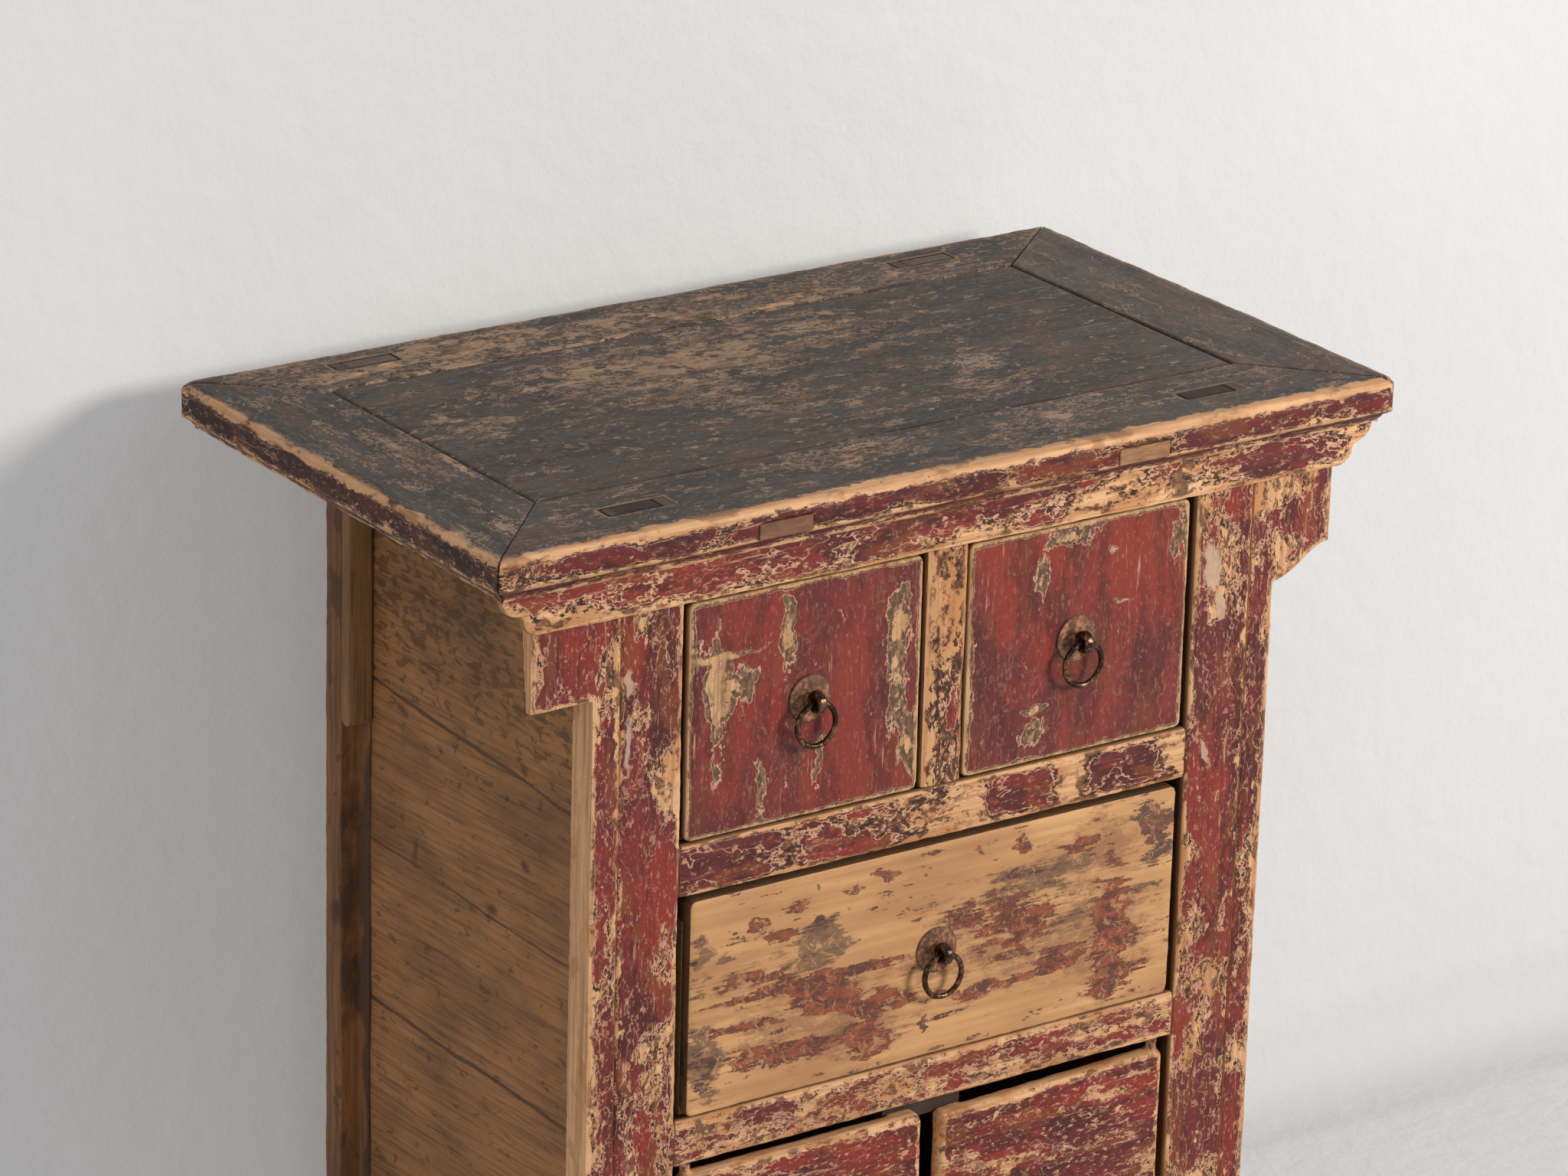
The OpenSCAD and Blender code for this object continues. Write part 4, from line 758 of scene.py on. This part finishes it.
# The wide front: the wood shows through all over. Orange-red dregs sit in the grain, grey-brown where the
# ground was not sanded out, and near-black at the upper right corner.
def stripped_front(name, dregs, greys, darks, browns):
    """Softwood with the old paint scraped off, and what stayed of it in patches."""
    finish, tree, place = new_finish(name)
    loose = swayed(tree, place, stretched(tree, place, "X", 0.5), (0.05, 0.0, 0.022), Scale=70.0, Detail=5.0,
                   Roughness=0.6)
    rings = mottle(tree, stretched(tree, place, "X", 0.03), 0.35, 0.75, Scale=150.0, Detail=5.0,
                   Roughness=0.55, Distortion=0.2)
    look = lay(tree, "Mix", {0: rings, 6: tint("#dca76e"), 7: tint("#bb8555")})
    cloud = mottle(tree, stretched(tree, place, "X", 0.5), 0.42, 0.66, 0.7, Scale=16.0, Detail=5.0)
    look = lay(tree, "Mix", {0: cloud, 6: look, 7: tint("#a87249")})
    breakup = lay(tree, "TexNoise", {"Vector": stretched(tree, place, "X", 0.35), "Scale": 150.0,
                                     "Detail": 7.0, "Roughness": 0.75})
    streaks = lay(tree, "TexNoise", {"Vector": stretched(tree, loose, "X", 0.3), "Scale": 60.0, "Detail": 5.0,
                                     "Roughness": 0.65})
    fibres = lay(tree, "TexNoise", {"Vector": stretched(tree, place, "X", 0.06), "Scale": 420.0,
                                    "Detail": 3.0, "Roughness": 0.6})
    crackle = lay(tree, "TexNoise", {"Vector": stretched(tree, loose, "Z", 0.3), "Scale": 330.0,
                                     "Detail": 4.0, "Roughness": 0.7})
    crackle = lay(tree, "MapRange", {"Value": crackle, "From Min": 0.6, "From Max": 0.54, "To Min": 0.3})
    for spots, first, second, most, fine, edge in (
            (browns, "#84553a", "#9f6a48", 0.65, 1.8, 0.3), (greys, "#77573c", "#574030", 0.85, 1.0, 0.1),
            (dregs, "#55281d", "#96472a", 0.96, 2.0, 0.07), (darks, "#3a2624", "#6b3428", 0.9, 1.6, 0.07)):
        held = lay(tree, "Math", {0: streaks, 1: 1.5, 2: -1.04}, operation="MULTIPLY_ADD")
        for row in spots:
            held = patch(tree, loose, held, "front", *row)
        held = lay(tree, "Math", {0: breakup, 1: fine, 2: held}, operation="MULTIPLY_ADD")
        held = lay(tree, "Math", {0: fibres, 1: 0.9, 2: held}, operation="MULTIPLY_ADD")
        held = lay(tree, "Math", {0: held, 1: 0.5 * fine + 0.45}, operation="SUBTRACT")
        inner = lay(tree, "MapRange", {"Value": held, "From Min": edge, "From Max": edge + 0.16})
        held = lay(tree, "MapRange", {"Value": held, "From Min": 0.0, "From Max": edge, "To Max": most})
        held = lay(tree, "Math", {0: held, 1: crackle}, operation="MULTIPLY")
        speck = lay(tree, "MapRange", {"Value": breakup, "From Min": 0.46, "From Max": 0.56})
        speck = lay(tree, "Math", {0: speck, 1: inner}, operation="MULTIPLY")
        tone = lay(tree, "Mix", {0: speck, 6: tint(first), 7: tint(second)})
        look = lay(tree, "Mix", {0: held, 6: look, 7: tone})
    # painted shade: faces turned sideways, the front's flanks in the gaps round the drawer, go near-black
    facing = lay(tree, "SeparateXYZ", {0: lay(tree, "TexCoord").node.outputs["Normal"]}).node.outputs["Y"]
    aside = lay(tree, "MapRange", {"Value": facing, "From Min": -0.6, "From Max": -0.3, "To Max": 0.85})
    look = lay(tree, "Mix", {0: aside, 6: look, 7: tint("#3a2518")})
    height = lay(tree, "Math", {0: rings, 1: -0.6, 2: breakup}, operation="MULTIPLY_ADD")
    closed(tree, look, 0.6, height, strength=0.4, depth=0.0003)
    return finish


front = aged("drawer_middle_front", cell=0.0016, soften=5, wander=0.0003, nibble=0.0005, corner=0.008)
front.data.materials.append(stripped_front(
    "stripped_drawer_front",
    dregs=((-157, 538, 12, 10, 0, 0.9), (-127, 541, 20, 10, 0, 0.9), (-135, 522, 18, 8, 0, 0.8),
           (-75, 543, 18, 7, 0, 0.7), (-44, 550, 14, 9, 0, 0.9), (77, 548, 9, 12, 0, 1.0),
           (130, 535, 20, 9, 0, 0.9), (-155, 493, 38, 8, -4, 1.2), (-112, 481, 108, 7, 1, 1.4),
           (-170, 459, 44, 5, -2, 1.1), (60, 490, 60, 38, 0, 0.65), (85, 488, 40, 30, 0, 0.3),
           (160, 468, 24, 70, 0, 0.95), (160, 450, 20, 40, 0, 0.4), (165, 420, 44, 16, 0, 0.8),
           (-140, 430, 60, 14, 2, 1.1), (-102, 467, 44, 17, 0, 1.4), (-60, 452, 52, 12, -6, 1.1),
           (-60, 428, 24, 26, 0, 1.1), (48, 441, 96, 7, 0, 1.0), (110, 450, 30, 14, 0, 0.8),
           (20, 500, 30, 12, 0, 0.4), (-120, 430, 60, 5, 0, 0.6)),
    greys=((-102, 507, 44, 24, 6, 1.1), (-202, 446, 24, 30, 0, 1.25), (175, 489, 46, 4, 4, 0.9),
           (-206, 515, 12, 50, 0, 0.6), (-185, 515, 10, 9, 0, 0.9), (60, 512, 66, 30, 0, 0.58),
           (120, 522, 40, 20, 0, 0.55), (110, 486, 60, 36, 0, 0.5), (-75, 440, 40, 30, 0, 0.5),
           (-200, 410, 20, 16, 0, 0.7)),
    darks=((200, 532, 26, 40, 20, 0.85), (188, 548, 20, 14, 0, 0.5), (-103, 551, 4, 4, 0, 1.2),
           (38, 551, 4, 4, 0, 1.2), (-10, 423, 5, 10, 0, 1.0), (2, 404, 8, 4, 0, 0.8),
           (-203, 440, 12, 22, 0, 0.7), (-200, 417, 8, 7, 0, 1.0)),
    browns=((60, 480, 130, 70, 0, 0.85), (160, 450, 70, 80, 0, 0.8), (-110, 450, 120, 56, 0, 0.8),
            (-150, 500, 90, 44, 0, 0.5), (150, 535, 80, 40, 0, 0.7), (-60, 430, 60, 30, 0, 0.5))))
for name in ("left", "right", "middle"):
    left_sawn("drawer_" + name + "_sides", rough_y)
    left_sawn("drawer_" + name + "_back", rough_x)
    left_sawn("drawer_" + name + "_bottom", rough_x)


# The doors: one softwood board each, turning on round wooden pivots left on at its top and foot. The red
# lacquer was sanded back in level strokes, and the boards' edges are rubbed quite round.
for side in ("left", "right"):
    door = aged("door_" + side, cell=0.0014, soften=40)
    door.data.materials.append(worn_lacquer("lacquer_on_door_" + side, "X", -0.075, islands=50.0, veins=0.5,
                                            reach=0.02, drawn=0.22, dusty=1.0, gap_shade=0.0, flank=0.0,
                                            arris=1.2))


# The pulls: a forged split pin through a small round plate holds a loose ring. The plate is rusty and dull,
# the eye and the ring are black iron that hands have kept smooth and shining.
iron, tree, place = new_finish("forged_iron")
scale = lay(tree, "TexNoise", {"Vector": place, "Scale": 300.0, "Detail": 6.0, "Roughness": 0.7})
bloom = lay(tree, "TexNoise", {"Vector": place, "Scale": 130.0, "Detail": 4.0})
rust = lay(tree, "MapRange", {"Value": scale, "From Min": 0.44, "From Max": 0.6})
ahead = lay(tree, "SeparateXYZ", {0: place}).node.outputs["Y"]
flat = lay(tree, "MapRange", {"Value": ahead, "From Min": -0.2044, "From Max": -0.2036})
plate = lay(tree, "Mix", {0: rust, 6: tint("#6b4632"), 7: tint("#bd8258")})
soot = lay(tree, "MapRange", {"Value": bloom, "From Min": 0.48, "From Max": 0.62, "To Max": 0.8})
plate = lay(tree, "Mix", {0: soot, 6: plate, 7: tint("#43302a")})
held = lay(tree, "MapRange", {"Value": bloom, "From Min": 0.38, "From Max": 0.54})
held = lay(tree, "Math", {0: held, 1: rust}, operation="MULTIPLY")
look = lay(tree, "Mix", {0: held, 6: tint("#32231d"), 7: tint("#8a664b")})
look = lay(tree, "Mix", {0: flat, 6: look, 7: plate})
# painted shade: a near-black line along the iron's sharp edges stands in for the shadow line round the
# plate's rim
edge = lay(tree, "Attribute", attribute_name="arris").node.outputs["Fac"]
edge = lay(tree, "MapRange", {"Value": edge, "From Min": 0.88, "From Max": 0.97, "To Max": 0.7})
look = lay(tree, "Mix", {0: edge, 6: look, 7: tint("#2a1c17")})
rough = lay(tree, "MapRange", {"Value": scale, "To Min": 0.14, "To Max": 0.42})
rough = lay(tree, "Math", {0: flat, 1: 0.3, 2: rough}, operation="MULTIPLY_ADD")
metal = lay(tree, "MapRange", {"Value": flat, "To Min": 0.85, "To Max": 0.2})
closed(tree, look, rough, scale, more={"Metallic": metal})
for node in list(frame["nodes"]):
    if node.startswith(("pull_", "ring_")):
        forged = aged(node, cell=0.0005, soften=2, wander=0.0002, nibble=0.0001, keep=0.5, free=0.0001)
        forged.data.materials.append(iron)
